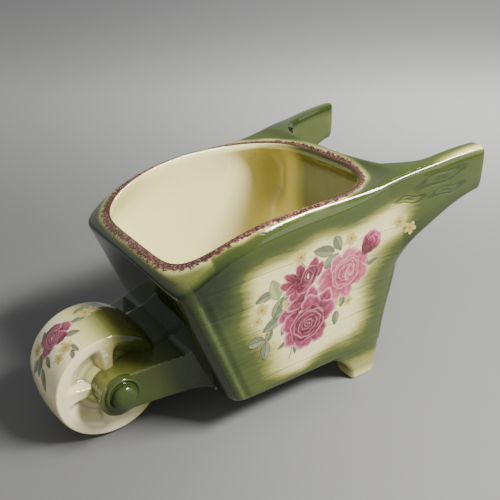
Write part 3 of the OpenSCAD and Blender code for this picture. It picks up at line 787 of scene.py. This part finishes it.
spins = np.linspace(0, 2 * np.pi, 288, endpoint=False)
rows = []
for r, y, on_face in profile:
    depth = np.zeros_like(spins)
    if on_face:
        basin = 1 - smoothstep(dish_r - 9.5, dish_r + 1, np.full_like(spins, r))
        rib = np.zeros_like(spins)
        for quarter in range(4):
            a = spins - quarter * math.pi / 2
            off = np.where(np.cos(a) > 0, np.abs(r * np.sin(a)), 99)
            half = 1.6 + 2.4 * (r / dish_r) ** 2
            rib = np.maximum(rib, 0.82 * (1 - smoothstep(half, half + 4.6, off)))
        boss = 1 - smoothstep(8, 17, np.full_like(spins, r))
        depth = dish_deep * basin * (1 - np.maximum(rib, boss * 0.95))
    across_y = np.sign(y) * (np.abs(y) - depth)
    rows.append(np.stack([wheel_x + r * np.cos(spins), across_y, wheel_z + r * np.sin(spins)], 1))
rows = np.array(rows)
pole_y = wheel_half - 0.4
wheel = closed("wheel", rows, [wheel_x, pole_y, wheel_z], [wheel_x, -pole_y, wheel_z])
p, n = points_of(wheel), normals_of(wheel)
toward_tub = p[:, 0] - wheel_x + 0.35 * (p[:, 2] - wheel_z)
tread = 1 - smoothstep(0.4, 0.8, np.abs(n[:, 1]))
from_axle = np.hypot(p[:, 0] - wheel_x, p[:, 2] - wheel_z)
spray = (0.02 + tread * 0.42 * smoothstep(-14, 30, toward_tub)
         + (1 - tread) * 0.55 * smoothstep(2, 30, toward_tub))
spray = spray + (1 - tread) * 0.14 * (1 - smoothstep(10, 27, from_axle))
note(wheel, "spray", spray)
note_edges(wheel)
wheel.data.materials.append(glaze("wheel_glaze", pale=(0.97, 0.92, 0.74)))
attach(wheel, "root")
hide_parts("wheel")

# ---- Fork: web, two arms and their knobs ----
# Two flat arms hold the wheel and sweep into the front wall, with a web between them behind the wheel.
# They were luted on wet and sponged smooth, so the rough castings are fused and their joints softened.
arm_out_hub, arm_in = 38.0, 17.0


def prism(outline, axis, lo, hi):
    """A slab with a flat outline, pushed out along an axis as clay is cut from a sheet."""
    bpy.ops.object.select_all(action="DESELECT")
    mesh = bpy.data.meshes.new("slab")
    points = [(q[0], lo, q[1]) if axis == "y" else (q[0], q[1], lo) for q in outline]
    mesh.from_pydata([((a - shift[0]) / 1000, b / 1000, c / 1000) for a, b, c in points], [],
                     [range(len(points))])
    slab = bpy.data.objects.new("slab", mesh)
    bpy.context.scene.collection.objects.link(slab)
    bpy.context.view_layer.objects.active = slab
    slab.select_set(True)
    bpy.ops.object.mode_set(mode="EDIT")
    bpy.ops.mesh.select_all(action="SELECT")
    far = (hi - lo) / 1000
    bpy.ops.mesh.extrude_region_move(TRANSFORM_OT_translate={"value": (0, far, 0) if axis == "y"
                                                             else (0, 0, far)})
    bpy.ops.mesh.select_all(action="SELECT")
    bpy.ops.mesh.normals_make_consistent(inside=False)
    bpy.ops.object.mode_set(mode="OBJECT")
    return slab


def carve(piece, tool, operation):
    cut = piece.modifiers.new("carve", "BOOLEAN")
    cut.operation, cut.object, cut.solver = operation, tool, "EXACT"
    bpy.context.view_layer.objects.active = piece
    bpy.ops.object.modifier_apply(modifier=cut.name)
    bpy.data.objects.remove(tool)
    return piece


def wall_x(z):
    return floor_front - 34 * (z - 25) / 84 + 2.5


plan = [(-122, arm_in), (-122, arm_out_hub)]
for a in np.radians(np.arange(-90, 1, 9)):
    plan.append((-65.8 + 12 * math.cos(a), 56 + 9 * math.sin(a)))
plan += [(-40, 56), (-40, arm_in)]
# The hub end of the outline starts flat for the round pad and then runs out to the tub
plan[2:2] = [(-104, arm_out_hub + 0.3), (-84, arm_out_hub + 4.2)]
hub_end = [(wheel_x + 12.4 * math.cos(a), wheel_z + 12.4 * math.sin(a))
           for a in np.radians(np.arange(84, 277, 8))]
profile = hub_end + [(-68, 29.5), (wall_x(29), 29), (wall_x(60), 60), (-68, 56.6)]
castings = []
for side in (1, -1):
    flat = [(x, y * side) for x, y in plan]
    slab = prism(flat, "z", 10, 80)
    arm = carve(slab, prism(profile, "y", *sorted((10 * side, 70 * side))), "INTERSECT")
    castings.append(arm)
web_outline = [(wheel_x + 26, 31.5), (wall_x(29), 29), (wall_x(60), 60), (wheel_x + 26, 54.6)]
castings.append(prism(web_outline, "y", -22, 22))
for side in (1, -1):
    bpy.ops.object.select_all(action="DESELECT")
    bpy.ops.mesh.primitive_cylinder_add(vertices=96, radius=0.0131, depth=0.010,
                                        rotation=(math.pi / 2, 0, 0),
                                        location=((wheel_x - shift[0]) / 1000, side * 0.034,
                                                  wheel_z / 1000))
    bpy.ops.object.transform_apply(location=True, rotation=True, scale=True)
    castings.append(bpy.context.active_object)
bpy.ops.object.select_all(action="DESELECT")
for part in castings:
    part.select_set(True)
bpy.context.view_layer.objects.active = castings[0]
bpy.ops.object.join()
fork = bpy.context.active_object
fork.name = fork.data.name = "fork"
fuse = fork.modifiers.new("fuse", "REMESH")
fuse.mode, fuse.voxel_size = "VOXEL", 0.0007
bpy.ops.object.modifier_apply(modifier=fuse.name)
sponge = fork.modifiers.new("sponge", "SMOOTH")
sponge.factor, sponge.iterations = 0.5, 9
bpy.ops.object.modifier_apply(modifier=sponge.name)
fork.data.shade_smooth()

# Where it runs into the tub, the clay stops just under the outer skin of the bowed front wall
p = points_of(fork)
bow = (4.5 - 3 * (p[:, 2] - 25) / 84) * (1 - (p[:, 1] / 71) ** 2)
p[:, 0] = np.minimum(p[:, 0], floor_front - 34 * (p[:, 2] - 25) / 84 - bow + 2.0)
fork.data.vertices.foreach_set("co", ((p - shift) / 1000).astype(np.float32).ravel())
fork.data.update()
n = normals_of(fork)
from_hub = p[:, 0] - wheel_x
spray = 0.52 + 0.30 * smoothstep(22, 52, from_hub)
spray = spray - 0.14 * (1 - smoothstep(0, 24, from_hub)) * smoothstep(0.5, 0.9, n[:, 2])
spray = spray + 0.08 * (1 - smoothstep(24, 40, p[:, 2])) * smoothstep(0.4, 0.8, np.abs(n[:, 1]))
note(fork, "spray", spray)
note_edges(fork, 3)
fork_glaze = glaze("fork_glaze")
fork.data.materials.append(fork_glaze)


def break_off(piece, name, chosen):
    """Makes the chosen faces a piece of their own, with the shading they had on the whole."""
    part = piece.copy()
    part.data = piece.data.copy()
    part.name = part.data.name = name
    bpy.context.scene.collection.objects.link(part)
    bpy.ops.object.select_all(action="DESELECT")
    part.select_set(True)
    bpy.context.view_layer.objects.active = part
    part.data.polygons.foreach_set("select", ~chosen)
    bpy.ops.object.mode_set(mode="EDIT")
    bpy.ops.mesh.select_mode(type="FACE")
    bpy.ops.mesh.delete(type="FACE")
    bpy.ops.object.mode_set(mode="OBJECT")
    return part


layer = fork.data.attributes.new("smooth_normal", "FLOAT_VECTOR", "POINT")
layer.data.foreach_set("vector", n.astype(np.float32).ravel())
mid = np.zeros(len(fork.data.polygons) * 3, np.float32)
fork.data.polygons.foreach_get("center", mid)
mid = mid.reshape(-1, 3) * 1000
for name, chosen in (
        ("fork_arm_left", mid[:, 1] < -24.5), ("fork_arm_right", mid[:, 1] > 24.5),
        ("fork_web", np.abs(mid[:, 1]) <= 24.5)):
    part = break_off(fork, name, chosen)
    kept = np.zeros(len(part.data.vertices) * 3, np.float32)
    part.data.attributes["smooth_normal"].data.foreach_get("vector", kept)
    part.data.normals_split_custom_set_from_vertices(kept.reshape(-1, 3).tolist())
    part.data.attributes.remove(part.data.attributes["smooth_normal"])
    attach(part, "root")
    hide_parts(name)
bpy.data.objects.remove(fork)

# Each knob is a ball sitting in a raised collar, pressed on over the axle: a half profile spun round it.
knob_line = [
    (12.3, 36.6), (12.2, 38.4), (11.7, 39.4), (11.3, 40.4), (10.6, 41.0), (9.7, 41.0), (8.9, 40.5),
    (8.2, 40.3), (7.9, 40.9), (8.1, 42.0), (8.0, 43.2), (7.4, 44.5), (6.2, 45.5), (4.6, 46.15),
    (2.6, 46.45), (0.8, 46.5)]
knob_x, knob_z = wheel_x + 1.5, wheel_z + 2.5
for name, side in (("hub_knob_left", -1), ("hub_knob_right", 1)):
    line = np.array(knob_line)
    t = np.linspace(0, len(line) - 1, 60)
    r, y = np.interp(t, range(len(line)), line[:, 0]), np.interp(t, range(len(line)), line[:, 1])
    for _ in range(3):
        r[1:-1], y[1:-1] = (r[:-2] + 2 * r[1:-1] + r[2:]) / 4, (y[:-2] + 2 * y[1:-1] + y[2:]) / 4
    turns = np.linspace(0, 2 * np.pi, 128, endpoint=False)
    body = np.array([np.stack([knob_x + a * np.cos(turns), side * b + 0 * turns, knob_z + a
                               * np.sin(turns)], 1)
                     for a, b in zip(r, y)])
    knob = closed(name, body, [knob_x, side * 36.6, knob_z], [knob_x, side * 46.5, knob_z], flip=side == 1)
    p = points_of(knob)
    note(knob, "spray", 0.68 - 0.1 * smoothstep(9, 12, np.hypot(p[:, 0] - knob_x, p[:, 2] - knob_z)))
    note_edges(knob)
    knob.data.materials.append(fork_glaze)
    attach(knob, "root")
    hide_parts(name)

# ---- Feet ----
# Two block feet carry the back of the tub. Each is a tapered block luted under its floor, the front swept
# back to the ground and the arrises rounded, so its outline is drawn up in steps.
foot_glaze = glaze("foot_glaze")
foot_tall = 25.5
blunt = 7.0
spins = np.linspace(0, 2 * np.pi, 96, endpoint=False)
c, s = np.cos(spins), np.sin(spins)
ux = np.sign(c) * (np.abs(c) ** (2 / blunt))
uy = np.sign(s) * (np.abs(s) ** (2 / blunt))


def foot_ring(side, share, z, inset=0.0):
    """The outline of a foot at a share of its height, drawn in by inset."""
    x0, x1, y0, y1 = 53 - 22 * share ** 2.2, 73 + 5 * share, 52.8 - 6 * share, 70 + 0.4 * share
    return np.stack([(x0 + x1) / 2 + ux * ((x1 - x0) / 2 - inset),
                     side * ((y0 + y1) / 2 + uy * ((y1 - y0) / 2 - inset)), np.full_like(ux, z)], 1)


for name, side in (("foot_left", -1), ("foot_right", 1)):
    bpy.ops.object.select_all(action="DESELECT")
    loops = [foot_ring(side, 0, z, inset) for inset, z in ((2.6, 0.0), (1.2, 0.12), (0.5, 0.6),
                                                           (0.12, 1.4))]
    loops += [foot_ring(side, min(1.0, level), foot_tall * level)
              for level in (0.08, 0.2, 0.34, 0.5, 0.66, 0.8, 0.9, 1.0, 1.12)]
    loops = np.array(loops)
    foot = closed(name, loops, loops[0].mean(0), loops[-1].mean(0), flip=side == -1)
    p = points_of(foot)
    note(foot, "spray", 0.30 - 0.2 * (1 - smoothstep(2, 9, p[:, 2])) + 0.26 * smoothstep(14, 25, p[:, 2]))
    note_edges(foot, 1)
    foot.data.materials.append(foot_glaze)
    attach(foot, "root")
    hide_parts(name)

# ---- Rose transfers ----
# Printed sprays of roses are slid on wet over the glaze and fired: a film that follows the wall under it.
# Each spray is painted here petal by petal on a fine sheet, whose bare cells are then cut away.
cell = 0.34


class Sheet:
    """A flat sheet of print, with colour and cover at each point."""

    def __init__(self, x0, x1, z0, z1):
        self.xs, self.zs = np.arange(x0, x1, cell), np.arange(z0, z1, cell)
        self.x, self.z = np.meshgrid(self.xs, self.zs)
        self.colour = np.zeros(self.x.shape + (3,))
        self.cover = np.zeros(self.x.shape)

    def lay(self, mask, colour):
        mask = np.clip(mask, 0, 1)
        total = mask + self.cover * (1 - mask)
        safe = np.maximum(total, 1e-6)[..., None]
        under = (self.cover * (1 - mask))[..., None]
        self.colour = (np.asarray(colour) * mask[..., None] + self.colour * under) / safe
        self.cover = total

    def turned(self, cx, cz, angle):
        a = math.radians(angle)
        dx, dz = self.x - cx, self.z - cz
        return dx * math.cos(a) + dz * math.sin(a), -dx * math.sin(a) + dz * math.cos(a)

    def petal(self, cx, cz, long, wide, angle, dark, light, seed, edge=None, cover=1.0):
        """A petal with its foot in shade and a thin pale rim: it points along angle."""
        u, v = self.turned(cx, cz, angle)
        ripple = (1 + 0.07 * np.sin(3 * np.arctan2(v, u) + seed)
                  + 0.05 * np.sin(7 * np.arctan2(v, u) + 2.3 * seed))
        r = np.hypot(u / long, v / wide) / ripple
        mask = 1 - smoothstep(0.94, 1.02, r)
        up = np.clip((u / long + 1) / 2, 0, 1)
        vein = 0.14 * np.sin(v / wide * 9 + 2 * np.sin(u / long * 2 + seed)) * (1 - up * 0.5)
        shade = smoothstep(0.2, 0.95, up + vein)[..., None]
        tone = np.asarray(dark) * (1 - shade) + np.asarray(light) * shade
        rim = (smoothstep(0.78, 0.95, r) * smoothstep(0.35, 0.8, up))[..., None]
        tone = tone * (1 - rim) + np.asarray(edge if edge is not None else (0.93, 0.78, 0.78)) * rim
        fold = (np.exp(-((r - 0.62) / 0.07) ** 2) * (up > 0.3) * 0.35)[..., None]
        tone = tone * (1 - fold) + np.asarray(dark) * fold
        self.lay(mask * cover, tone)

    def line(self, points, width, colour, cover=1.0):
        """A brushed line through points."""
        best = np.full(self.x.shape, 99.0)
        for (ax, az), (bx, bz) in zip(points[:-1], points[1:]):
            dx, dz = bx - ax, bz - az
            t = np.clip(((self.x - ax) * dx + (self.z - az) * dz) / (dx * dx + dz * dz), 0, 1)
            best = np.minimum(best, np.hypot(self.x - ax - t * dx, self.z - az - t * dz))
        self.lay((1 - smoothstep(width * 0.35, width, best)) * cover, colour)

    def leaf(self, cx, cz, long, wide, angle, dark=(0.27, 0.31, 0.22), light=(0.55, 0.60, 0.42)):
        u, v = self.turned(cx, cz, angle)
        t = np.clip(u / long, -1, 1)
        half = wide * (1 - t * t) ** 0.8 * (1 - 0.25 * t) * (1 + 0.06 * np.sin(u * 5))
        inside_leaf = 1 - smoothstep(-0.25, 0.3, np.abs(v) - half)
        inside_leaf *= np.abs(u) < long
        tone = np.where((v > 0)[..., None], np.asarray(light), np.asarray(light) * 0.55 + np.asarray(dark)
                        * 0.45)
        veins = (np.abs(np.sin((u - np.abs(v) * 0.9) * 2.0)) < 0.28)[..., None] * 0.35
        tone = tone * (1 - veins) + np.asarray(dark) * veins
        rim = smoothstep(-0.75, -0.2, np.abs(v) - half)[..., None] * 0.8
        tone = tone * (1 - rim) + np.asarray(dark) * rim
        mid = (np.abs(v) < 0.28)[..., None] * 0.75
        tone = tone * (1 - mid) + np.asarray(dark) * mid
        self.lay(inside_leaf * 0.93, tone)

    def blossom(self, cx, cz, r, seed, yellow=(0.90, 0.85, 0.46)):
        for i in range(5):
            a = 72 * i + seed * 31
            q = math.radians(a)
            self.petal(cx + r * 0.55 * math.cos(q), cz + r * 0.55 * math.sin(q), r * 0.55, r * 0.36, a,
                       (0.78, 0.68, 0.34), yellow, seed + i, edge=(0.95, 0.92, 0.66), cover=0.8)
        self.lay(1 - smoothstep(r * 0.1, r * 0.24, np.hypot(self.x - cx, self.z - cz)), (0.62, 0.42, 0.16))

    def curl(self, cx, cz, r, wide, start, sweep, deep, light, squash=1.0, lean=0.0):
        """A petal seen edge on: a crescent, dark in its hollow, with a thin pale rolled rim."""
        u, v = self.turned(cx, cz, lean)
        v = v / squash
        at = (np.degrees(np.arctan2(v, u)) - start) % 360
        t = np.clip(at / sweep, 0, 1)
        thick = np.maximum(wide * np.sin(np.pi * t) ** 0.6, 0.02)
        edge = r * (1 + 0.045 * np.sin(at / 17 + r) + 0.03 * np.sin(at / 7 + 2 * r))
        d = (np.hypot(u, v) - (edge - thick)) / thick
        mask = smoothstep(-0.02, 0.12, d) * (1 - smoothstep(0.97, 1.06, d)) * (at <= sweep)
        up = np.clip(d, 0, 1)
        up = np.clip(up ** 1.7 + 0.12 * np.sin(at / 5 + r * 3) * (1 - up), 0, 1)[..., None]
        tone = np.asarray(deep) * (1 - up) + np.asarray(light) * up
        rim = smoothstep(0.74, 0.88, d) * (1 - smoothstep(0.97, 1.03, d)) * np.sin(np.pi * t) ** 0.5
        rim = rim[..., None]
        pale = np.clip(np.asarray(light) * 0.5 + np.array([0.96, 0.84, 0.80]) * 0.5, 0, 1)
        self.lay(mask, tone * (1 - rim * 0.85) + pale * rim * 0.85)

    def rose(self, cx, cz, r, seed, petals, deep, light, squash=0.9, lean=20.0):
        """A full rose: its open outer petals, each placed, and then crescents closing in on the heart."""
        rng = np.random.default_rng(seed)
        for px, pz, long, wide, angle in petals:
            tone = np.clip(np.asarray(light) + rng.uniform(-0.06, 0.06), 0, 1)
            self.petal(px, pz, long, wide, angle, deep, tone, rng.uniform(0, 6),
                       edge=np.clip(tone * 0.5 + 0.47, 0, 0.97))
        start = rng.uniform(0, 360)
        for size in (1.0, 0.94, 0.84, 0.76, 0.66, 0.58, 0.49, 0.41, 0.33, 0.26, 0.18, 0.12):
            start += rng.uniform(120, 165)
            at_x, at_z = cx + rng.uniform(-0.05, 0.05) * r, cz + rng.uniform(-0.05, 0.05) * r
            sweep = rng.uniform(150, 235)
            tone = np.clip(np.asarray(light) + rng.uniform(-0.08, 0.05), 0, 1)
            self.curl(at_x, at_z, r * size, r * (0.13 + 0.22 * size), start, sweep,
                      deep, tone, squash, lean)

    def bud(self, cx, cz, r, angle, seed):
        """A closed rose: a few petals packed round one axis."""
        rng = np.random.default_rng(seed)
        foot_x, foot_z = r * 0.2 * math.cos(math.radians(angle)), r * 0.2 * math.sin(math.radians(angle))
        for a, at, size in (
                (0, 0.2, 0.85), (48, 0.34, 0.6), (-46, 0.34, 0.6), (20, 0.42, 0.5), (-18, 0.3, 0.52),
                (8, 0.12, 0.42)):
            q = math.radians(angle + a)
            self.petal(cx + r * at * math.cos(q) - foot_x, cz + r * at * math.sin(q) - foot_z,
                       r * size, r * size * 0.8, angle + a * 0.8, (0.36, 0.05, 0.14), (0.66, 0.25, 0.36),
                       rng.uniform(0, 6), edge=(0.84, 0.56, 0.60))


side_print = Sheet(-38, 97, 42, 131)
for points in (
        [(-10, 60), (-5, 51), (-7, 44)], [(-24, 74), (-27, 62), (-30, 54)], [(-2, 114), (3, 108)],
        [(38, 117), (36, 123)], [(20, 106), (24, 113), (28, 120)], [(50, 106), (52, 98), (57, 94)],
        [(78, 122), (84, 115), (92, 110)]):
    side_print.line(points, 0.55, (0.50, 0.46, 0.34), 0.75)
for x, z, long, wide, angle in (
        (-34, 66, 7.5, 3.8, 180), (-26, 57, 7.0, 3.6, 265), (-23, 67.5, 4.5, 2.4, 60),
        (-21, 75, 8.0, 3.8, 205), (-17, 86, 7.5, 3.6, 60), (-14, 80, 5.5, 3.0, 20),
        (-27.5, 96, 6.5, 3.2, 195), (-9, 92, 6.5, 3.0, 40), (31, 61.5, 5.6, 2.9, 268),
        (36.5, 75, 6.5, 2.8, 75), (17, 115, 9.0, 3.9, 165), (28, 117.5, 6.5, 3.4, 300),
        (23.5, 106.5, 6.8, 4.0, 35), (-2.2, 51.5, 5.5, 1.8, 265), (-11, 57, 6.0, 1.9, 205),
        (54, 98, 4.0, 1.9, 95), (60, 96, 5.0, 1.5, 20), (53.5, 90.5, 4.0, 1.8, 260),
        (-12, 68, 4.5, 2.2, 250)):
    side_print.leaf(x, z, long, wide, angle)
side_print.leaf(-19.5, 99, 8, 4.4, 110, light=(0.70, 0.74, 0.48), dark=(0.46, 0.52, 0.28))
side_print.leaf(-6, 90, 7, 3.4, 40, light=(0.70, 0.72, 0.50), dark=(0.36, 0.40, 0.26))
for x, z, r, seed in (
        (-1.5, 116, 5.0, 1), (38.9, 118, 5.4, 2), (-29, 88, 5.0, 3), (-32.3, 81, 4.6, 4),
        (-9, 86, 5.0, 5), (0.6, 89, 3.4, 10), (29.5, 74, 4.4, 6), (41.5, 71.5, 3.8, 7), (80, 120, 5.0, 8),
        (89, 114, 4.6, 9)):
    side_print.blossom(x, z, r, seed)
magenta, wine = (0.66, 0.25, 0.36), (0.33, 0.04, 0.13)
blush, cream_pink = (0.82, 0.47, 0.50), (0.92, 0.70, 0.60)
for px, pz, long, wide, angle in (
        (-9, 98, 9, 3.2, 170), (-7, 103, 8, 3.0, 150), (-3, 92, 8.5, 4.6, 235), (-1, 106, 6.5, 3.4, 105),
        (9, 107, 6.5, 4.2, 80), (13, 103, 7, 3.4, 50), (-5, 96, 7.5, 3.6, 205), (2, 94, 8, 5.0, 270)):
    side_print.petal(px, pz, long, wide, angle, wine, magenta, px, edge=(0.90, 0.66, 0.68))
for cx, cz, r, wide, start, sweep in (
        (4, 100, 11, 5.5, 150, 200), (2, 99, 8.5, 4.5, 200, 170), (6, 101, 8, 4, 330, 190),
        (4, 100, 5.6, 3, 170, 210), (6, 102, 4.4, 2.6, 20, 200), (8, 103, 3, 1.8, 190, 200)):
    side_print.curl(cx, cz, r, wide, start, sweep, wine, magenta, 0.72, 52)
open_petals = (
    (22, 95, 9.5, 6.5, 175), (21, 90.5, 8, 5, 205), (30, 84, 9, 7, 250), (38, 82, 7.5, 6, 285),
    (39, 104, 9, 7.5, 80), (47, 100, 9, 7.5, 35), (48, 91, 8.5, 8, 350), (30, 101, 8.5, 6.5, 130))
side_print.rose(37, 94.5, 12.5, 12, open_petals, (0.62, 0.20, 0.32), blush, 0.86, 50)
for r, wide, start, sweep in ((6.5, 3.4, 30, 190), (4.6, 3.0, 210, 170), (3.0, 2.4, 60, 200)):
    side_print.curl(41, 94, r, wide, start, sweep, (0.74, 0.34, 0.40), cream_pink, 0.62, 62)
for px, pz, long, wide, angle in (
        (-6, 80, 13, 5.0, 205), (0, 84, 11, 4.6, 190), (9, 83, 10, 6, 95), (19, 78, 10, 6.5, 50)):
    side_print.petal(px, pz, long, wide, angle, wine, magenta, px, edge=(0.90, 0.66, 0.68))
open_petals = (
    (20, 71, 10, 8.5, 20), (-4, 70, 10, 8, 175), (-2, 60, 10, 8, 215), (5, 55.5, 9, 8, 260),
    (15, 58, 9, 8, 310), (9, 77, 10, 9, 95))
side_print.rose(7.5, 65.5, 15.0, 14, open_petals, wine, magenta, 0.84, 35)
side_print.bud(57, 111, 11.0, 50, 21)

tread_print = Sheet(-24, 24, 2, 72)
film_lift = 0.14


def film(name, sheet, points, flip):
    """Makes the sheet a mesh at the given points, keeping only the cells with print on them."""
    rows_s, cols = sheet.x.shape
    a = (np.arange(rows_s - 1)[:, None] * cols + np.arange(cols - 1)[None]).ravel()
    quads = np.stack([a, a + 1, a + cols + 1, a + cols], 1)
    inked = sheet.cover.ravel()[quads].max(1) > 0.02
    quads = quads[inked]
    if flip:
        quads = quads[:, ::-1]
    used = np.unique(quads)
    back = np.full(rows_s * cols, -1)
    back[used] = np.arange(len(used))
    piece = shape(name, points[used], back[quads])
    layer = piece.data.color_attributes.new("print", "FLOAT_COLOR", "POINT")
    seen = np.clip(sheet.colour.reshape(-1, 3)[used], 0, 1)
    rgb = np.where(seen > 0.04045, ((seen + 0.055) / 1.055) ** 2.4, seen / 12.92)
    layer.data.foreach_set("color", np.concatenate([rgb, np.ones((len(used), 1))],
                                                   1).astype(np.float32).ravel())
    note(piece, "cover", sheet.cover.ravel()[used])
    return piece


def transfer_glaze():
    """Ink in fine dots, sunk in the gloss of the glaze it was fired on."""
    paint = Paint("rose_transfer")
    ink = paint.node("ShaderNodeAttribute", {"attribute_name": "print"}, out=0)
    dots = paint.noise(2600, 2)
    mottle = paint.noise(420, 3)
    colour = paint.mix(paint.step(mottle, 0.35, 0.7) * 0.07, ink, linear(0.93, 0.84, 0.76))
    colour = paint.mix(paint.step(dots, 0.45, 0.62) * 0.14, colour, linear(0.33, 0.12, 0.16))
    cover = paint.noted("cover") * paint.step(dots, 0.2, 0.5, 0.82, 1.0)
    rough = 0.09 + mottle * 0.05
    height = paint.noise(28, 3)
    bump = paint.node("ShaderNodeBump", None, {"Strength": 0.4, "Distance": 0.0003, "Height": height})
    paint.wire(paint.shader, {"Base Color": colour, "Alpha": cover, "Roughness": rough, "Normal": bump,
                              "Coat Weight": 0.35, "Coat Roughness": 0.03})
    return paint.material


transfer = transfer_glaze()
bpy.context.view_layer.update()
for name, side in (("rose_transfer_left", -1), ("rose_transfer_right", 1)):
    flat = np.stack([side_print.x.ravel(), np.zeros(side_print.x.size), side_print.z.ravel()], 1)
    lifted = flat.copy()
    for i in np.where(side_print.cover.ravel() > 0.001)[0]:
        best = None
        start = Vector(((flat[i, 0] - shift[0]) / 1000, side * 0.12, flat[i, 2] / 1000))
        for target in (tub, handles["handle_left" if side == -1 else "handle_right"]):
            hit, spot, normal, _ = target.ray_cast(start, Vector((0, -side, 0)))
            if hit and (best is None or abs(spot.y) > abs(best.y)):
                best = spot
        lifted[i, 1] = side * (abs(best.y) * 1000 + film_lift) if best else side * 70
    near = lifted[:, 1].reshape(side_print.x.shape)
    grown = side_print.cover > 0.001
    for _ in range(2):
        for axis, step in ((0, 1), (0, -1), (1, 1), (1, -1)):
            moved, ok = np.roll(near, step, axis), np.roll(grown, step, axis)
            take = ok & ~grown
            near[take] = moved[take]
            grown = grown | take
    lifted[:, 1] = near.ravel()
    piece = film(name, side_print, lifted, flip=side == 1)
    piece.data.materials.append(transfer)
    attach(piece, "root")
    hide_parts(name)

# A small spray lies over the upper front of the wheel's tread.
for points in (
        [(1, 26), (-2, 18), (-8, 11)], [(3, 42), (4, 52), (8, 62)], [(-8, 36), (-16, 38), (-22, 41)],
        [(8, 26), (12, 18)]):
    tread_print.line(points, 0.5, (0.5, 0.48, 0.36), 0.7)
for x, z, long, wide, angle in (
        (0.5, 15, 7.0, 3.4, 250), (-9, 10, 7.0, 3.0, 235), (6, 11, 6.0, 2.8, 290), (-18, 40, 5, 2.0, 160),
        (-22, 37, 3.5, 1.5, 200), (2, 52, 5.0, 2.0, 100), (13, 57, 4.5, 1.8, 60), (-7, 45, 5.0, 2.2, 120),
        (12, 30, 4.5, 2.0, 20), (-8, 22, 4.5, 2.0, 200)):
    tread_print.leaf(x, z, long, wide, angle)
for x, z, r, seed in (
        (6.5, 59, 5.0, 31), (9, 66, 4.4, 32), (-13.5, 36.5, 4.8, 33), (11, 20, 4.4, 34),
        (-15, 29, 3.6, 35)):
    tread_print.blossom(x, z, r, seed)
open_petals = ((3, 43, 6, 5, 90), (8, 30, 6, 5, 230), (0, 27, 6, 5, 270), (-2, 38, 5, 5, 30),
               (8, 38, 5, 5, 130))
tread_print.rose(3.5, 34, 8.0, 41, open_petals, wine, magenta, 0.85, 40)
round_at = np.pi - tread_print.z / wheel_r
tread_top = wheel_r - crown_r + np.sqrt(crown_r ** 2 - np.clip(tread_print.x, -24, 24) ** 2) + film_lift
on_tread = np.stack([wheel_x + tread_top * np.cos(round_at), tread_print.x, wheel_z + tread_top
                     * np.sin(round_at)], 2).reshape(-1, 3)
wheel_film = film("wheel_transfer", tread_print, on_tread, flip=True)
wheel_film.data.materials.append(transfer)
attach(wheel_film, "root")
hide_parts("wheel_transfer")

# ---- Studio ----
# A plain grey paper floor running back out of sight, under a lamp high on the right and a window behind it.
# Its colour is painted darker near the barrow and to the left, paler far off and to the right: painted
# light falloff.
bpy.ops.object.select_all(action="DESELECT")
bpy.ops.mesh.primitive_plane_add(size=60, location=(0, 0, 0))
ground = bpy.context.active_object
ground.name = "studio_floor"
grey = Paint("studio_grey")
where = [grey.part(axis) for axis in (0, 1)]
sideways = (where[0] + 0.22) * level.x + (where[1] + 0.34) * level.y
away_from = (where[1] + 0.34) * level.x - (where[0] + 0.22) * level.y
fan = sideways / away_from
# Painted light falloff: the paper is coloured darker near the barrow and on the left, paler far away and on
# the right.
near = grey.mix(grey.step(fan, -0.5, 0.5), linear(0.43, 0.43, 0.42), linear(0.52, 0.52, 0.505))
far = grey.mix(grey.step(fan, -0.45, 0.42), linear(0.70, 0.70, 0.68), linear(0.97, 0.965, 0.94))
painted_falloff_paper = grey.mix(grey.step(away_from, 0.5, 1.5), near, far)
grey.wire(grey.shader, {"Base Color": grey.mix(grey.noise(900, 2) * 0.06, painted_falloff_paper, linear(0.5, 0.5, 0.5)),
                        "Roughness": 0.9, "Specular IOR Level": 0.1})
ground.data.materials.append(grey.material)

for name, place, size, power in (("lamp", (0.52, -0.68, 0.98), (0.55, 0.20), 40),
                                 ("window", (0.70, -0.95, 0.42), (0.8, 0.5), 1.6)):
    lamp = bpy.data.lights.new(name, "AREA")
    lamp.shape, lamp.size, lamp.size_y, lamp.energy = "RECTANGLE", size[0], size[1], power
    light = bpy.data.objects.new(name, lamp)
    light.location = place
    light.rotation_mode = "QUATERNION"
    light.rotation_quaternion = (Vector((0, 0, 0.06)) - Vector(place)).to_track_quat("-Z", "Y")
    bpy.context.scene.collection.objects.link(light)
world = bpy.data.worlds.new("studio")
world.use_nodes = True
world.node_tree.nodes["Background"].inputs[0].default_value = (0.94, 0.96, 1.0, 1)
world.node_tree.nodes["Background"].inputs[1].default_value = 0.44
bpy.context.scene.world = world
